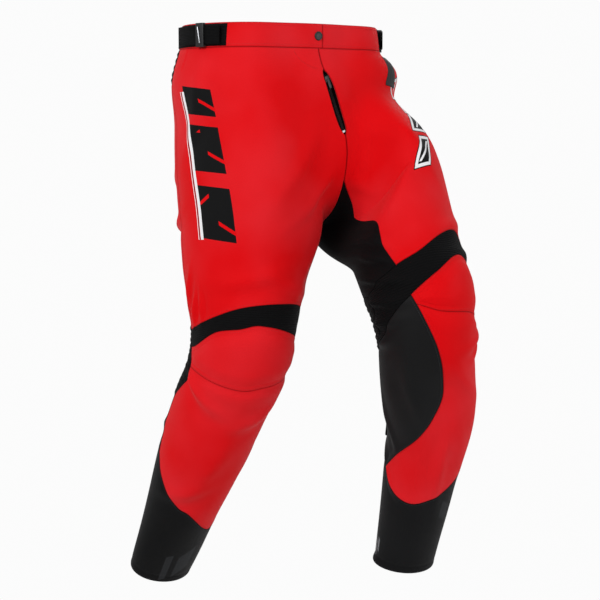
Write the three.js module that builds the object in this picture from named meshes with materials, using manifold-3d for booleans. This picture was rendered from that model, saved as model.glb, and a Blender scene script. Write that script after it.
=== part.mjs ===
// Padded riding pants, worn shape with bent knees, hanging from the waist.
// Millimetres. +Z is up, the front faces -Y, and the wearer's right leg is on the -X side.
// The origin is the middle of the waist opening.
//
// Every cloth panel is cut from one form. A place on the form has three coordinates:
//   side    -1 for the right leg, 1 for the left leg
//   across  degrees round the leg: 0 front, 90 outer side, 180 back, -90 and 270 inner side
//   depth   distance down from the waist rim, along the unbent leg
import * as THREE from 'three';
import { mergeVertices } from 'three/addons/utils/BufferGeometryUtils.js';
import Module from 'manifold-3d';

// ---------------------------------------------------------------- driving dimensions
const waistWidth = 332;
const waistDepth = 242;
const hipWidth = 384;
const hipDepth = 264;
const riseLength = 332;      // waist rim to fork
const thighLength = 228;     // fork to knee
const shinLength = 467;      // knee to hem
const thighWidth = 206;
const thighDepth = 268;
const kneeWidth = 164;
const kneeDepthSize = 172;
const calfWidth = 154;
const calfDepth = 158;
const hemWidth = 116;
const hemDepthSize = 86;
const legSpacing = 192;      // between the two legs' middles

const bandHeight = 40;       // waistband
const clothThickness = 1.6;
const bandThickness = 2.6;
const stretchThickness = 2.2;
const leatherThickness = 1.8;
const seamGap = 0.8;         // between two panels that are sewn edge to edge
const clearance = 0.4;       // between hard pieces
const layerGap = 0.5;        // between cloth and what lies on it
const liningGap = 2;         // between a curved panel and the lining or pad behind it

const zipLength = 104;
const zipWidth = 14;
const snapRadius = 7.5;
const strapHeight = 31;
const strapThickness = 1.8;
const loopWall = 3;
const loopLength = 17;       // along the strap
const padThickness = 5;
const hipPadGap = { '-1': 2, 1: 7 };        // and between each hip and its pad
const kneePadGap = { '-1': 3.8, 1: 5 };  // room in the pocket between each knee cup and its pad

const cellSize = 28;         // size of one facet of a large panel
const jointBlend = 34;       // radius where a leg runs into the hips

// ---------------------------------------------------------------- stations down the leg
const hipStation = 0.43 * riseLength;
const seatStation = 0.78 * riseLength;
const forkStation = riseLength;
const midThighStation = forkStation + 0.3 * thighLength;
const kneeStation = forkStation + thighLength;
const calfStation = kneeStation + 0.34 * shinLength;
const ankleStation = kneeStation + 0.69 * shinLength;
const hemStation = kneeStation + shinLength;

const red = '#d8000a';
const black = '#0d0d0e';
const charcoal = '#1b1b1d';
const greyMetal = '#9a9da0';
const foam = '#3a3b3e';

const sideName = { '-1': 'right', 1: 'left' };
const radians = THREE.MathUtils.degToRad;
const degrees = THREE.MathUtils.radToDeg;
const smoothstep = (low, high, x) => THREE.MathUtils.smoothstep(x, low, high);

// A smooth curve through a few [place, value] pairs, level before the first and after the last.
function profile(pairs) {
  const last = pairs.length - 1;
  const slopes = pairs.map((pair, i) => {
    const before = pairs[Math.max(i - 1, 0)];
    const after = pairs[Math.min(i + 1, last)];
    return (after[1] - before[1]) / (after[0] - before[0]);
  });
  return (place) => {
    const x = THREE.MathUtils.clamp(place, pairs[0][0], pairs[last][0]);
    let i = 0;
    while (i < last - 1 && x >= pairs[i + 1][0]) i += 1;
    const width = pairs[i + 1][0] - pairs[i][0];
    const s = (x - pairs[i][0]) / width;
    const rise = (3 - 2 * s) * s * s;
    const leave = s * (1 - s) * (1 - s) * width;
    const arrive = s * s * (s - 1) * width;
    return pairs[i][1] * (1 - rise) + pairs[i + 1][1] * rise + slopes[i] * leave + slopes[i + 1] * arrive;
  };
}

// ---------------------------------------------------------------- the unbent form
const stations = [0, hipStation, seatStation, midThighStation, kneeStation, calfStation, ankleStation, hemStation];
const alongLeg = (values) => profile(stations.map((station, i) => [station, values[i]]));

const legHalfWidth = alongLeg([
  0.4 * waistWidth / 2, 0.46 * thighWidth, thighWidth / 2, 0.47 * thighWidth,
  kneeWidth / 2, calfWidth / 2, 0.43 * calfWidth, hemWidth / 2,
]);
const legHalfDepth = alongLeg([
  0.86 * waistDepth / 2, 0.485 * thighDepth, thighDepth / 2, 0.418 * thighDepth,
  kneeDepthSize / 2, calfDepth / 2, 0.373 * calfDepth, hemDepthSize / 2,
]);
const legForward = profile([
  [0, 0], [midThighStation, 0], [kneeStation - 80, -4], [kneeStation, 8], [kneeStation + 80, 4], [hemStation, 0],
]);
// The hips are one wide oval that narrows to nothing just below the fork.
const hipTaper = (rim, full, low) => profile([
  [0, rim / 2], [bandHeight, rim / 2], [0.29 * riseLength, full / 2], [0.46 * riseLength, 0.475 * full],
  [0.64 * riseLength, low[0] * full], [0.78 * riseLength, low[1] * full], [0.9 * riseLength, low[2] * full],
  [0.97 * riseLength, low[3] * full], [1.03 * riseLength, 0.03 * full],
]);
const hipHalfWidth = hipTaper(waistWidth, hipWidth, [0.37, 0.28, 0.18, 0.1]);
const hipHalfDepth = hipTaper(waistDepth, hipDepth, [0.45, 0.4, 0.29, 0.16]);
const legMiddle = legSpacing / 2;
const legAside = profile([
  [0, legMiddle], [hipStation, 1.02 * legMiddle], [seatStation, 1.08 * legMiddle],
  [midThighStation, 1.06 * legMiddle], [kneeStation, legMiddle], [hemStation, legMiddle],
]);

// How far a point lies outside an oval, to first order.
function ovalDistance(x, y, halfWidth, halfDepth) {
  const reach = Math.hypot(x / halfWidth, y / halfDepth) + 1e-9;
  const slope = Math.hypot(x / halfWidth ** 2, y / halfDepth ** 2) + 1e-9;
  return reach * (reach - 1) / slope;
}

// Negative inside the form. x is measured from the middle plane towards the leg.
function formField(x, y, depth) {
  const leg = ovalDistance(x - legAside(depth), y - legForward(depth), legHalfWidth(depth), legHalfDepth(depth));
  const hips = ovalDistance(x, y, hipHalfWidth(depth), hipHalfDepth(depth));
  const mix = THREE.MathUtils.clamp(0.5 + 0.5 * (hips - leg) / jointBlend, 0, 1);
  const joined = hips * (1 - mix) + leg * mix - jointBlend * mix * (1 - mix);
  const legOnly = smoothstep(0.97 * riseLength, 1.06 * riseLength, depth);
  return joined * (1 - legOnly) + leg * legOnly;
}

// Where a ray from the leg's middle leaves the form.
function formPoint(across, depth) {
  const turn = radians(across);
  const dx = Math.sin(turn);
  const dy = -Math.cos(turn);
  const x0 = legAside(depth);
  const y0 = legForward(depth);
  let near = 5;
  let far = 260;
  for (let i = 0; i < 26; i += 1) {
    const middle = (near + far) / 2;
    if (formField(x0 + dx * middle, y0 + dy * middle, depth) < 0) near = middle;
    else far = middle;
  }
  return new THREE.Vector3(x0 + dx * near, y0 + dy * near, -depth);
}

function formNormal(point) {
  const step = 0.5;
  const depth = -point.z;
  const normal = new THREE.Vector3(
    formField(point.x + step, point.y, depth) - formField(point.x - step, point.y, depth),
    formField(point.x, point.y + step, depth) - formField(point.x, point.y - step, depth),
    formField(point.x, point.y, depth - step) - formField(point.x, point.y, depth + step),
  );
  return normal.normalize();
}

// The seam in the middle plane, as an angle round the leg. Below the fork it is the inner side.
function middleSeam(depth, back) {
  const y0 = legForward(depth);
  if (formField(0, y0, depth) >= 0) return back ? 270 : -90;
  let near = 0;
  let far = 200;
  for (let i = 0; i < 24; i += 1) {
    const middle = (near + far) / 2;
    if (formField(0, y0 + (back ? middle : -middle), depth) < 0) near = middle;
    else far = middle;
  }
  const angle = degrees(Math.atan2(legAside(depth), near));
  return back ? 180 + angle : -angle;
}

// ---------------------------------------------------------------- the worn shape
const worn = {
  '-1': { hipBend: 5, hipSpread: 6, turn: -4, kneeBend: 34, kneeSpread: 2, ankleSpread: -3 },
  1: { hipBend: 36, hipSpread: -1, turn: -14, kneeBend: 50, kneeSpread: 14.5, ankleSpread: -13 },
};
const hipShift = new THREE.Vector3(27, -22, 0);
// The middle of the front is pulled towards the wearer's left, most of all at the fork.
const middleShift = profile([
  [bandHeight, 0], [bandHeight + 40, 3], [bandHeight + 75, 14], [0.54 * riseLength, 17], [0.78 * riseLength, 20],
  [1.05 * riseLength, 24], [1.3 * riseLength, 9], [1.5 * riseLength, 0],
]);
const leftHipFullness = 8;   // the raised thigh fills out the left hip under the band
const xAxis = new THREE.Vector3(1, 0, 0);
const yAxis = new THREE.Vector3(0, 1, 0);
const zAxis = new THREE.Vector3(0, 0, 1);

function turnAbout(point, centre, axis, angle) {
  return point.sub(centre).applyAxisAngle(axis, radians(angle)).add(centre);
}

function pose(side, point) {
  const bend = worn[side];
  const depth = -point.z;
  const belowFork = Math.max(0, depth - 0.99 * riseLength);
  const legShare = smoothstep(0, 1, (Math.abs(point.x) + belowFork) / (1.25 * legMiddle));
  const hipShare = smoothstep(0.09 * riseLength, 0.87 * riseLength, depth) * legShare;
  const kneeShare = smoothstep(kneeStation - 95, kneeStation + 95, depth);
  const turnShare = smoothstep(100, kneeStation - 80, depth) * legShare;
  const top = new THREE.Vector3(side * legMiddle, 0, 0);
  const hip = new THREE.Vector3(side * legMiddle, 0, -hipStation);
  const knee = new THREE.Vector3(side * legMiddle, 0, -kneeStation);
  const ankle = new THREE.Vector3(side * legMiddle, 0, -kneeStation - 0.36 * shinLength);
  const ankleShare = smoothstep(kneeStation + 0.23 * shinLength, kneeStation + 0.64 * shinLength, depth);
  const nearMiddle = 1 - smoothstep(0, 1.1 * legMiddle, Math.abs(point.x));
  const moved = point.clone();
  turnAbout(moved, ankle, yAxis, -side * bend.ankleSpread * ankleShare);
  turnAbout(moved, top, zAxis, side * bend.turn * turnShare);
  turnAbout(moved, knee, yAxis, -side * bend.kneeSpread * kneeShare);
  turnAbout(moved, knee, xAxis, bend.kneeBend * kneeShare);
  turnAbout(moved, hip, yAxis, -side * bend.hipSpread * hipShare);
  turnAbout(moved, hip, xAxis, -bend.hipBend * hipShare);
  moved.x += middleShift(depth) * nearMiddle;
  const shiftEnd = riseLength * (1 - 0.33 * nearMiddle);
  return moved.addScaledVector(hipShift, smoothstep(bandHeight, shiftEnd, depth));
}

function fullness(side, across, depth) {
  if (side < 0) return 0;
  const inDepth = (depth - bandHeight - 52) / 30;
  const inAngle = (across - 60) / 50;
  return leftHipFullness * Math.exp(-inDepth * inDepth - inAngle * inAngle);
}

// A place on the worn form, raised above it by height along its normal.
function place(side, across, depth, height = 0) {
  const flat = formPoint(across, depth);
  flat.addScaledVector(formNormal(flat), height + fullness(side, across, depth));
  flat.x = Math.max(flat.x, seamGap / 2) * side;
  return pose(side, flat);
}

// A place on the waist or hips by its angle round the whole body: 0 front, 90 the wearer's left,
// 180 back.
function waistPlace(angle, depth, height = 0) {
  const side = Math.sin(radians(angle)) < 0 ? -1 : 1;
  const dx = Math.abs(Math.sin(radians(angle)));
  const dy = -Math.cos(radians(angle));
  let near = 5;
  let far = 300;
  for (let i = 0; i < 26; i += 1) {
    const middle = (near + far) / 2;
    if (formField(dx * middle, dy * middle, depth) < 0) near = middle;
    else far = middle;
  }
  const flat = new THREE.Vector3(dx * near, dy * near, -depth);
  flat.addScaledVector(formNormal(flat), height);
  flat.x *= side;
  return pose(side, flat);
}

// A place near the fly, by its distance to the wearer's left of the middle seam.
function flyPlace(aside, depth, height = 0) {
  const side = aside < 0 ? -1 : 1;
  let near = 0;
  let far = 200;
  for (let i = 0; i < 26; i += 1) {
    const middle = (near + far) / 2;
    if (formField(Math.abs(aside), -middle, depth) < 0) near = middle;
    else far = middle;
  }
  const flat = new THREE.Vector3(Math.abs(aside), -near, -depth);
  flat.addScaledVector(formNormal(flat), height);
  flat.x = aside;
  return pose(side, flat);
}

// ---------------------------------------------------------------- sheets of cloth
// A closed sheet over a grid of places. spot(s, t, height) gives a point, and outwards is s x t
// when mirrored is false.
function sheetGeometry(spot, columns, rows, outside, thickness, mirrored) {
  const positions = [];
  for (const height of [outside, outside - thickness]) {
    for (let row = 0; row <= rows; row += 1) {
      for (let column = 0; column <= columns; column += 1) {
        positions.push(...spot(column / columns, row / rows, height).toArray());
      }
    }
  }
  const at = (layer, column, row) => (layer * (rows + 1) + row) * (columns + 1) + column;
  const faces = [];
  const quad = (a, b, c, d) => {
    if (mirrored) faces.push(a, c, b, a, d, c);
    else faces.push(a, b, c, a, c, d);
  };
  for (let row = 0; row < rows; row += 1) {
    for (let column = 0; column < columns; column += 1) {
      quad(at(0, column, row), at(0, column + 1, row), at(0, column + 1, row + 1), at(0, column, row + 1));
      quad(at(1, column, row), at(1, column, row + 1), at(1, column + 1, row + 1), at(1, column + 1, row));
    }
    quad(at(0, 0, row), at(0, 0, row + 1), at(1, 0, row + 1), at(1, 0, row));
    quad(at(0, columns, row), at(1, columns, row), at(1, columns, row + 1), at(0, columns, row + 1));
  }
  for (let column = 0; column < columns; column += 1) {
    quad(at(0, column, 0), at(1, column, 0), at(1, column + 1, 0), at(0, column + 1, 0));
    quad(at(0, column, rows), at(0, column + 1, rows), at(1, column + 1, rows), at(1, column, rows));
  }
  const geometry = new THREE.BufferGeometry();
  geometry.setAttribute('position', new THREE.Float32BufferAttribute(positions, 3));
  geometry.setIndex(faces);
  return geometry;
}

const cloth = { thickness: clothThickness, outside: 0, cell: cellSize, inset: 0.45 * seamGap };

// How many columns and rows of facets a panel needs.
function gridFor(spot, cell) {
  const middle = spot(0.5, 0.5, 0);
  const wide = spot(0, 0.5, 0).distanceTo(middle) + middle.distanceTo(spot(1, 0.5, 0));
  const long = spot(0.5, 0, 0).distanceTo(middle) + middle.distanceTo(spot(0.5, 1, 0));
  return [Math.max(2, Math.round(wide / cell)), Math.max(1, Math.round(long / cell))];
}

const settleSteps = 24;      // rounds that bring a corner onto two slanted edges at once

// The places of a panel between four edges. left and right give an angle for a depth, top and
// bottom give a depth for an angle, and each edge stands back by the inset.
function panelSpot(side, edges, inset) {
  const corner = (s, t) => {
    let across = edges.left(edges.top(0)) * (1 - s) + edges.right(edges.top(0)) * s;
    let depth = 0;
    for (let i = 0; i < settleSteps; i += 1) {
      depth = (edges.top(across) + inset) * (1 - t) + (edges.bottom(across) - inset) * t;
      const back = degrees(inset / Math.min(legHalfWidth(depth), legHalfDepth(depth)));
      across = (edges.left(depth) + back) * (1 - s) + (edges.right(depth) - back) * s;
    }
    return [across, depth];
  };
  return (s, t, height) => place(side, ...corner(s, t), height);
}

function panelGeometry(side, edges, options = {}) {
  const { thickness, outside, cell, inset, grid } = { ...cloth, ...options };
  const spot = panelSpot(side, edges, inset);
  const [columns, rows] = grid ?? gridFor(spot, cell);
  return sheetGeometry(spot, columns, rows, outside, thickness, side > 0);
}

// Panels that meet on a curved seam: the second is trimmed by a slightly larger copy of the first.
const seamCutters = {};

function panel(name, side, edges, options = {}, trimmedBy = []) {
  const full = { ...cloth, ...options };
  const spot = panelSpot(side, edges, full.inset);
  full.grid ??= gridFor(spot, full.cell);
  let geometry = panelGeometry(side, edges, full);
  for (const other of trimmedBy) geometry = cut(geometry, seamCutters[`${other}_${sideName[side]}`]);
  seamCutters[`${name}_${sideName[side]}`] = panelGeometry(side, edges, {
    ...full,
    outside: full.outside + liningGap,
    thickness: full.thickness + 2 * liningGap,
    inset: -0.7 * seamGap,
  });
  return geometry;
}

const waistStep = 6;         // degrees round the waist to one facet
const waistRows = 2;

// A band round the waist between two angles and two depths.
function waistGeometry(from, to, top, bottom, outside, thickness) {
  const inset = seamGap / 2;
  const backOff = degrees(inset / (waistDepth / 2));
  const spot = (s, t, height) => waistPlace(
    (from + backOff) * (1 - s) + (to - backOff) * s,
    (top + inset) * (1 - t) + (bottom - inset) * t,
    height,
  );
  const columns = Math.max(2, Math.round(Math.abs(to - from) / waistStep));
  return sheetGeometry(spot, columns, waistRows, outside, thickness, true);
}

// ---------------------------------------------------------------- joining and cutting
const wasm = await Module();
wasm.setup();

function toSolid(geometry) {
  const plain = geometry.clone();
  plain.deleteAttribute('normal');
  plain.deleteAttribute('uv');
  const merged = mergeVertices(plain, 1e-4);
  return new wasm.Manifold(new wasm.Mesh({
    numProp: 3,
    vertProperties: new Float32Array(merged.attributes.position.array),
    triVerts: new Uint32Array(merged.index.array),
  }));
}

function toGeometry(solid) {
  const mesh = solid.getMesh();
  const geometry = new THREE.BufferGeometry();
  geometry.setAttribute('position', new THREE.Float32BufferAttribute(mesh.vertProperties, 3));
  geometry.setIndex(Array.from(mesh.triVerts));
  return geometry;
}

// Cuts a tool out of a piece and keeps the main part of what is left.
function cut(geometry, tool) {
  const parts = toSolid(geometry).subtract(toSolid(tool)).decompose();
  parts.sort((a, b) => b.volume() - a.volume());
  return toGeometry(parts[0]);
}

// ---------------------------------------------------------------- where the panels meet
const frontSeam = (depth) => middleSeam(depth, false);
const backSeam = (depth) => middleSeam(depth, true);
const level = (value) => () => value;

// The middle seam turned about: its depth for an angle on the inner side.
function middleSeamDepth(across) {
  let above = 0;
  let below = 1.06 * riseLength;
  for (let i = 0; i < 24; i += 1) {
    const depth = (above + below) / 2;
    const passed = across > -90 ? frontSeam(depth) < across : backSeam(depth) - 360 > across;
    if (passed) below = depth;
    else above = depth;
  }
  return (above + below) / 2;
}

const sideSeamAngle = 116;
const sideSeam = level(sideSeamAngle);            // side seam of thigh and hip
const flyTop = bandHeight + 36;
const flyBottom = flyTop + zipLength;
const gussetTop = flyBottom + 48;                 // where the inner thigh panel starts
const yokeBottom = level(bandHeight + 58);
const above = (length) => kneeStation - length;
const below = (length) => kneeStation + length;

// Edges of the inner thigh panel, as angles for a depth. Each leg has its own, for it is bent its
// own way.
const bothSides = (right, left) => ({ '-1': profile(right), 1: profile(left) });
const gussetFront = bothSides(
  [[gussetTop, -52], [forkStation - 60, -62], [above(70), -62]],
  [[gussetTop, -45], [forkStation - 70, -39], [forkStation + 16, -31], [above(110), -42], [above(70), -37]],
);
const gussetBack = profile([[gussetTop, -106], [forkStation, -124], [above(150), -138], [above(60), -146]]);
const gussetFrontEdge = (side, depth) => Math.max(gussetFront[side](depth), frontSeam(depth));

// The stretch band above the knee and the stretch panel behind it, as depths for an angle.
const kneeBandTop = bothSides(
  [[-90, above(80)], [-36, above(94)], [-3, above(94)], [33, above(86)], [66, above(70)], [sideSeamAngle, above(43)]],
  [[-90, above(55)], [-36, above(70)], [-9, above(78)], [36, above(110)], [72, above(96)], [sideSeamAngle, above(43)]],
);
const kneeBandBottom = bothSides(
  [
    [-90, above(5)], [-62, above(40)], [-24, above(54)], [18, above(62)], [36, above(56)], [66, above(47)],
    [102, above(15)], [sideSeamAngle, above(8)],
  ],
  [
    [-90, below(25)], [-60, above(12)], [-30, above(31)], [0, above(47)], [42, above(70)], [78, above(48)],
    [sideSeamAngle, above(8)],
  ],
);
const kneeBackTop = bothSides(
  [[sideSeamAngle, above(43)], [160, above(82)], [225, above(90)], [270, above(80)]],
  [[sideSeamAngle, above(43)], [160, above(82)], [225, above(80)], [270, above(55)]],
);
const kneeBackBottom = bothSides(
  [[124, below(118)], [180, below(110)], [232, below(50)], [270, above(5)]],
  [[124, below(118)], [180, below(110)], [232, below(66)], [270, below(25)]],
);

// The lower leg: the crease under the knee cup, and the panels' outer, inner and lower edges.
const kneeCrease = bothSides(
  [[-62, below(4)], [-48, below(9)], [-3, below(17)], [24, below(25)], [90, below(25)]],
  [[-32, above(22)], [-3, above(7)], [48, below(3)], [100, below(24)]],
);
const outerEdge = profile([
  [above(43), sideSeamAngle], [above(8), sideSeamAngle - 4], [below(38), 99], [below(78), 108],
  [below(118), 122], [below(170), 118], [below(214), 107],
]);
const leatherFront = bothSides(
  [[above(36), -62], [below(66), -64], [below(145), -66], [below(236), -76], [below(275), -86]],
  [
    [above(45), -36], [above(30), -31], [below(2), -20], [below(34), -9], [below(66), -3], [below(104), -3],
    [below(145), -16], [below(190), -36], [below(236), -64], [below(275), -86],
  ],
);
const leatherBackAngle = -128;
const leatherBack = level(leatherBackAngle);
const cuffTop = bothSides(
  [
    [-180, below(214)], [leatherBackAngle, below(240)], [-88, below(300)], [-48, below(341)], [-21, below(333)],
    [24, below(293)], [42, below(285)], [66, below(262)], [87, below(238)], [107, below(214)], [180, below(214)],
  ],
  [
    [-180, below(214)], [leatherBackAngle, below(240)], [-88, below(274)], [-70, below(301)], [-50, below(317)],
    [-28, below(323)], [-6, below(317)], [24, below(299)], [45, below(284)], [68, below(260)],
    [107, below(214)], [180, below(214)],
  ],
);

// ---------------------------------------------------------------- collecting the pieces
const pants = new THREE.Group();

function add(name, geometry, look, matrix) {
  const mesh = new THREE.Mesh(geometry, new THREE.MeshStandardMaterial(look));
  mesh.name = name;
  if (matrix) mesh.applyMatrix4(matrix);
  pants.add(mesh);
}

const redCloth = { color: red, roughness: 0.75, metalness: 0 };
const blackCloth = { color: black, roughness: 0.8, metalness: 0 };
const darkCloth = { color: charcoal, roughness: 0.7, metalness: 0 };
const softFoam = { color: foam, roughness: 0.9, metalness: 0 };
const blackPlastic = { color: black, roughness: 0.45, metalness: 0 };
const plainMetal = { color: greyMetal, roughness: 0.35, metalness: 1 };

// ---------------------------------------------------------------- zip
// The zip is straight and lies just behind the fly. Its frame has x to the wearer's left, y up
// the zip and z out of the fly.
const tapeThickness = 0.9;
const tapeWidth = 11;
const teethWidth = 2.4;
const teethHeight = 1.6;
const zipBack = clothThickness + liningGap + teethHeight;
const zipTopPoint = flyPlace(seamGap, flyTop, -zipBack);
const zipEndPoint = flyPlace(seamGap, flyBottom, -zipBack);
const zipUp = zipTopPoint.clone().sub(zipEndPoint).normalize();
const zipOut = new THREE.Vector3().crossVectors(xAxis, zipUp).normalize();
const zipAcross = new THREE.Vector3().crossVectors(zipUp, zipOut).normalize();
const zipFrame = new THREE.Matrix4().makeBasis(zipAcross, zipUp, zipOut)
  .setPosition(zipTopPoint.add(zipEndPoint).multiplyScalar(0.5));

const inZip = (x, y, z) => zipFrame.clone().multiply(new THREE.Matrix4().makeTranslation(x, y, z));

function roundedPlate(width, length, thickness, corner) {
  const shape = new THREE.Shape();
  const x = width / 2 - corner;
  const y = length / 2 - corner;
  shape.absarc(x, y, corner, 0, Math.PI / 2);
  shape.absarc(-x, y, corner, Math.PI / 2, Math.PI);
  shape.absarc(-x, -y, corner, Math.PI, 1.5 * Math.PI);
  shape.absarc(x, -y, corner, 1.5 * Math.PI, 2 * Math.PI);
  shape.closePath();
  const plate = new THREE.ExtrudeGeometry(shape, { depth: thickness, bevelEnabled: false, curveSegments: 3 });
  return plate.translate(0, 0, -thickness / 2);
}

function flySlot() {
  const slot = roundedPlate(zipWidth, zipLength, 60, zipWidth / 2 - 0.01);
  return slot.applyMatrix4(zipFrame);
}

function addZip() {
  const tapeLength = zipLength + 2;
  for (const side of [-1, 1]) {
    const name = sideName[side];
    const tape = new THREE.BoxGeometry(tapeWidth, tapeLength, tapeThickness);
    add(`zip_tape_${name}`, tape, blackCloth, inZip(side * (clearance + tapeWidth) / 2, 0, -clearance));
    const teeth = new THREE.BoxGeometry(teethWidth, zipLength - 8, teethHeight);
    const teethZ = (tapeThickness + teethHeight) / 2;
    add(`zip_teeth_${name}`, teeth, blackPlastic, inZip(side * (clearance + teethWidth) / 2, 0, teethZ));
  }
  const teethTop = tapeThickness / 2 + teethHeight;
  const sliderLength = 11;
  const sliderThickness = 2.2;
  const sliderY = zipLength / 2 - 12;
  const sliderZ = teethTop + clearance + sliderThickness / 2;
  add('zip_slider', roundedPlate(9, sliderLength, sliderThickness, 2), blackPlastic, inZip(0, sliderY, sliderZ));
  const pullLength = 16;
  const pullThickness = 1.2;
  const pullZ = sliderZ + sliderThickness / 2 + clearance + pullThickness / 2;
  add('zip_pull', roundedPlate(5, pullLength, pullThickness, 2), blackPlastic, inZip(0, sliderY - pullLength / 2, pullZ));
  const stopY = -(zipLength / 2 - 4 + clearance + 2);
  const stopZ = (tapeThickness + teethHeight) / 2;
  add('zip_bottom_stop', roundedPlate(6, 4, teethHeight, 1), plainMetal, inZip(0, stopY, stopZ));
}

// How far the fly stands out in front of the straight line between the zip's ends.
function flyCurve() {
  const toZip = zipFrame.clone().invert();
  let most = 0;
  for (let depth = flyTop; depth <= flyBottom; depth += 4) {
    const point = flyPlace(seamGap, depth, -zipBack).applyMatrix4(toZip);
    most = Math.max(most, Math.abs(point.z));
  }
  return most;
}

function addFlyLining() {
  const shieldHalf = 24;
  const shieldSpot = (s, t, height) => flyPlace(
    shieldHalf * (2 * s - 1),
    bandHeight + seamGap + t * (flyBottom + 12 - bandHeight),
    height,
  );
  const shieldDepth = -(zipBack + tapeThickness + flyCurve() + clearance);
  add('fly_shield', sheetGeometry(shieldSpot, 4, 5, shieldDepth, clothThickness, true), blackCloth);
  const facingInner = tapeWidth + 3.5 * clearance;
  const facingSpot = (s, t, height) => flyPlace(
    -facingInner - 20 * (1 - s),
    bandHeight + seamGap + t * (flyBottom - bandHeight - 4),
    height,
  );
  add('fly_facing', sheetGeometry(facingSpot, 2, 5, -clothThickness - liningGap, clothThickness, true), redCloth);
}

// ---------------------------------------------------------------- hips and thighs
function addThighPanels(side) {
  const name = sideName[side];
  const front = panel('thigh_front', side, {
    left: (depth) => (depth < gussetTop ? frontSeam(depth) : gussetFrontEdge(side, depth)),
    right: sideSeam,
    top: level(bandHeight),
    bottom: kneeBandTop[side],
  }, { cell: 22 });
  add(`thigh_front_${name}`, cut(front, flySlot()), redCloth);
  add(`seat_panel_${name}`, panel('seat_panel', side, {
    left: sideSeam,
    right: (depth) => Math.min(backSeam(depth), gussetBack(depth) + 360),
    top: yokeBottom,
    bottom: kneeBackTop[side],
  }, {}, ['thigh_front']), redCloth);
  add(`yoke_${name}`, panelGeometry(side, {
    left: sideSeam,
    right: backSeam,
    top: level(bandHeight),
    bottom: yokeBottom,
  }, { thickness: stretchThickness }), blackCloth);
  add(`inner_thigh_${name}`, panel('inner_thigh', side, {
    left: gussetBack,
    right: gussetFront[side],
    top: (across) => (across < -90 ? middleSeamDepth(across) : Math.max(middleSeamDepth(across), gussetTop)),
    bottom: (across) => (across < -90 ? kneeBackTop[side](across + 360) : kneeBandTop[side](across)),
  }, { thickness: stretchThickness, cell: 22 }, ['thigh_front', 'seat_panel']), blackCloth);
  add(`hip_pad_${name}`, panelGeometry(side, {
    left: level(58),
    right: level(108),
    top: level(hipStation - 55),
    bottom: level(hipStation + 75),
  }, { thickness: padThickness, outside: -clothThickness - hipPadGap[side] }), softFoam);
}

// ---------------------------------------------------------------- knees and lower legs
function addKnee(side) {
  const name = sideName[side];
  add(`knee_band_${name}`, panel('knee_band', side, {
    left: level(-90),
    right: outerEdge,
    top: kneeBandTop[side],
    bottom: kneeBandBottom[side],
  }, { thickness: stretchThickness }, ['thigh_front']), blackCloth);
  add(`knee_cup_${name}`, panel('knee_cup', side, {
    left: leatherFront[side],
    right: outerEdge,
    top: kneeBandBottom[side],
    bottom: kneeCrease[side],
  }, { cell: 22 }, ['knee_band']), redCloth);
  add(`shin_panel_${name}`, panel('shin_panel', side, {
    left: leatherFront[side],
    right: outerEdge,
    top: kneeCrease[side],
    bottom: cuffTop[side],
  }, { cell: 24 }), redCloth);
  add(`knee_back_${name}`, panel('knee_back', side, {
    left: outerEdge,
    right: level(270),
    top: kneeBackTop[side],
    bottom: kneeBackBottom[side],
  }, { thickness: stretchThickness, cell: 27 }, ['knee_band', 'knee_cup', 'shin_panel']), blackCloth);
  add(`knee_pad_${name}`, panelGeometry(side, {
    left: level(-18),
    right: level(78),
    top: (across) => kneeBandBottom[side](across) + 10,
    bottom: (across) => kneeCrease[side](across) + 70,
  }, { thickness: padThickness, outside: -clothThickness - kneePadGap[side], cell: 20 }), softFoam);
}

const cuffColumns = 20;

function addLowerLeg(side) {
  const name = sideName[side];
  add(`calf_leather_${name}`, panel('calf_leather', side, {
    left: leatherBack,
    right: leatherFront[side],
    top: (across) => (across < -90 ? kneeBackBottom[side](across + 360) : kneeBandBottom[side](across)),
    bottom: cuffTop[side],
  }, { thickness: leatherThickness, cell: 26 }, ['knee_band', 'knee_cup', 'shin_panel', 'knee_back']), darkCloth);
  add(`calf_back_${name}`, panel('calf_back', side, {
    left: outerEdge,
    right: level(leatherBackAngle + 360),
    top: kneeBackBottom[side],
    bottom: (across) => cuffTop[side](across > 180 ? across - 360 : across),
  }, { thickness: stretchThickness, cell: 26 }, ['shin_panel', 'knee_back', 'calf_leather']), blackCloth);
  add(`cuff_${name}`, panel('cuff', side, {
    left: level(-180),
    right: level(180),
    top: cuffTop[side],
    bottom: level(hemStation),
  }, { grid: [cuffColumns, 4] }, ['shin_panel', 'calf_leather', 'calf_back']), darkCloth);
  add(`cuff_gripper_${name}`, panelGeometry(side, {
    left: level(-180),
    right: level(180),
    top: level(hemStation - 34),
    bottom: level(hemStation - 8),
  }, { thickness: 1, outside: -clothThickness - liningGap / 2, grid: [cuffColumns, 1] }), blackCloth);
}

// ---------------------------------------------------------------- waistband
const hipEnd = 98;       // where front and back waistbands meet, degrees from the front
const flyLap = 4;        // the right half laps past the middle

const snapDepth = bandHeight / 2;
const snapFrame = (height) => {
  const origin = waistPlace(0, snapDepth, height);
  const out = waistPlace(0, snapDepth, height + 1).sub(origin).normalize();
  const up = new THREE.Vector3().crossVectors(out, xAxis).normalize();
  return new THREE.Matrix4().makeBasis(xAxis, up, out).setPosition(origin);
};

function lathe(points, segments = 12) {
  const geometry = new THREE.LatheGeometry(points.map(([r, h]) => new THREE.Vector2(r, h)), segments);
  return geometry.rotateX(Math.PI / 2);
}

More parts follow.
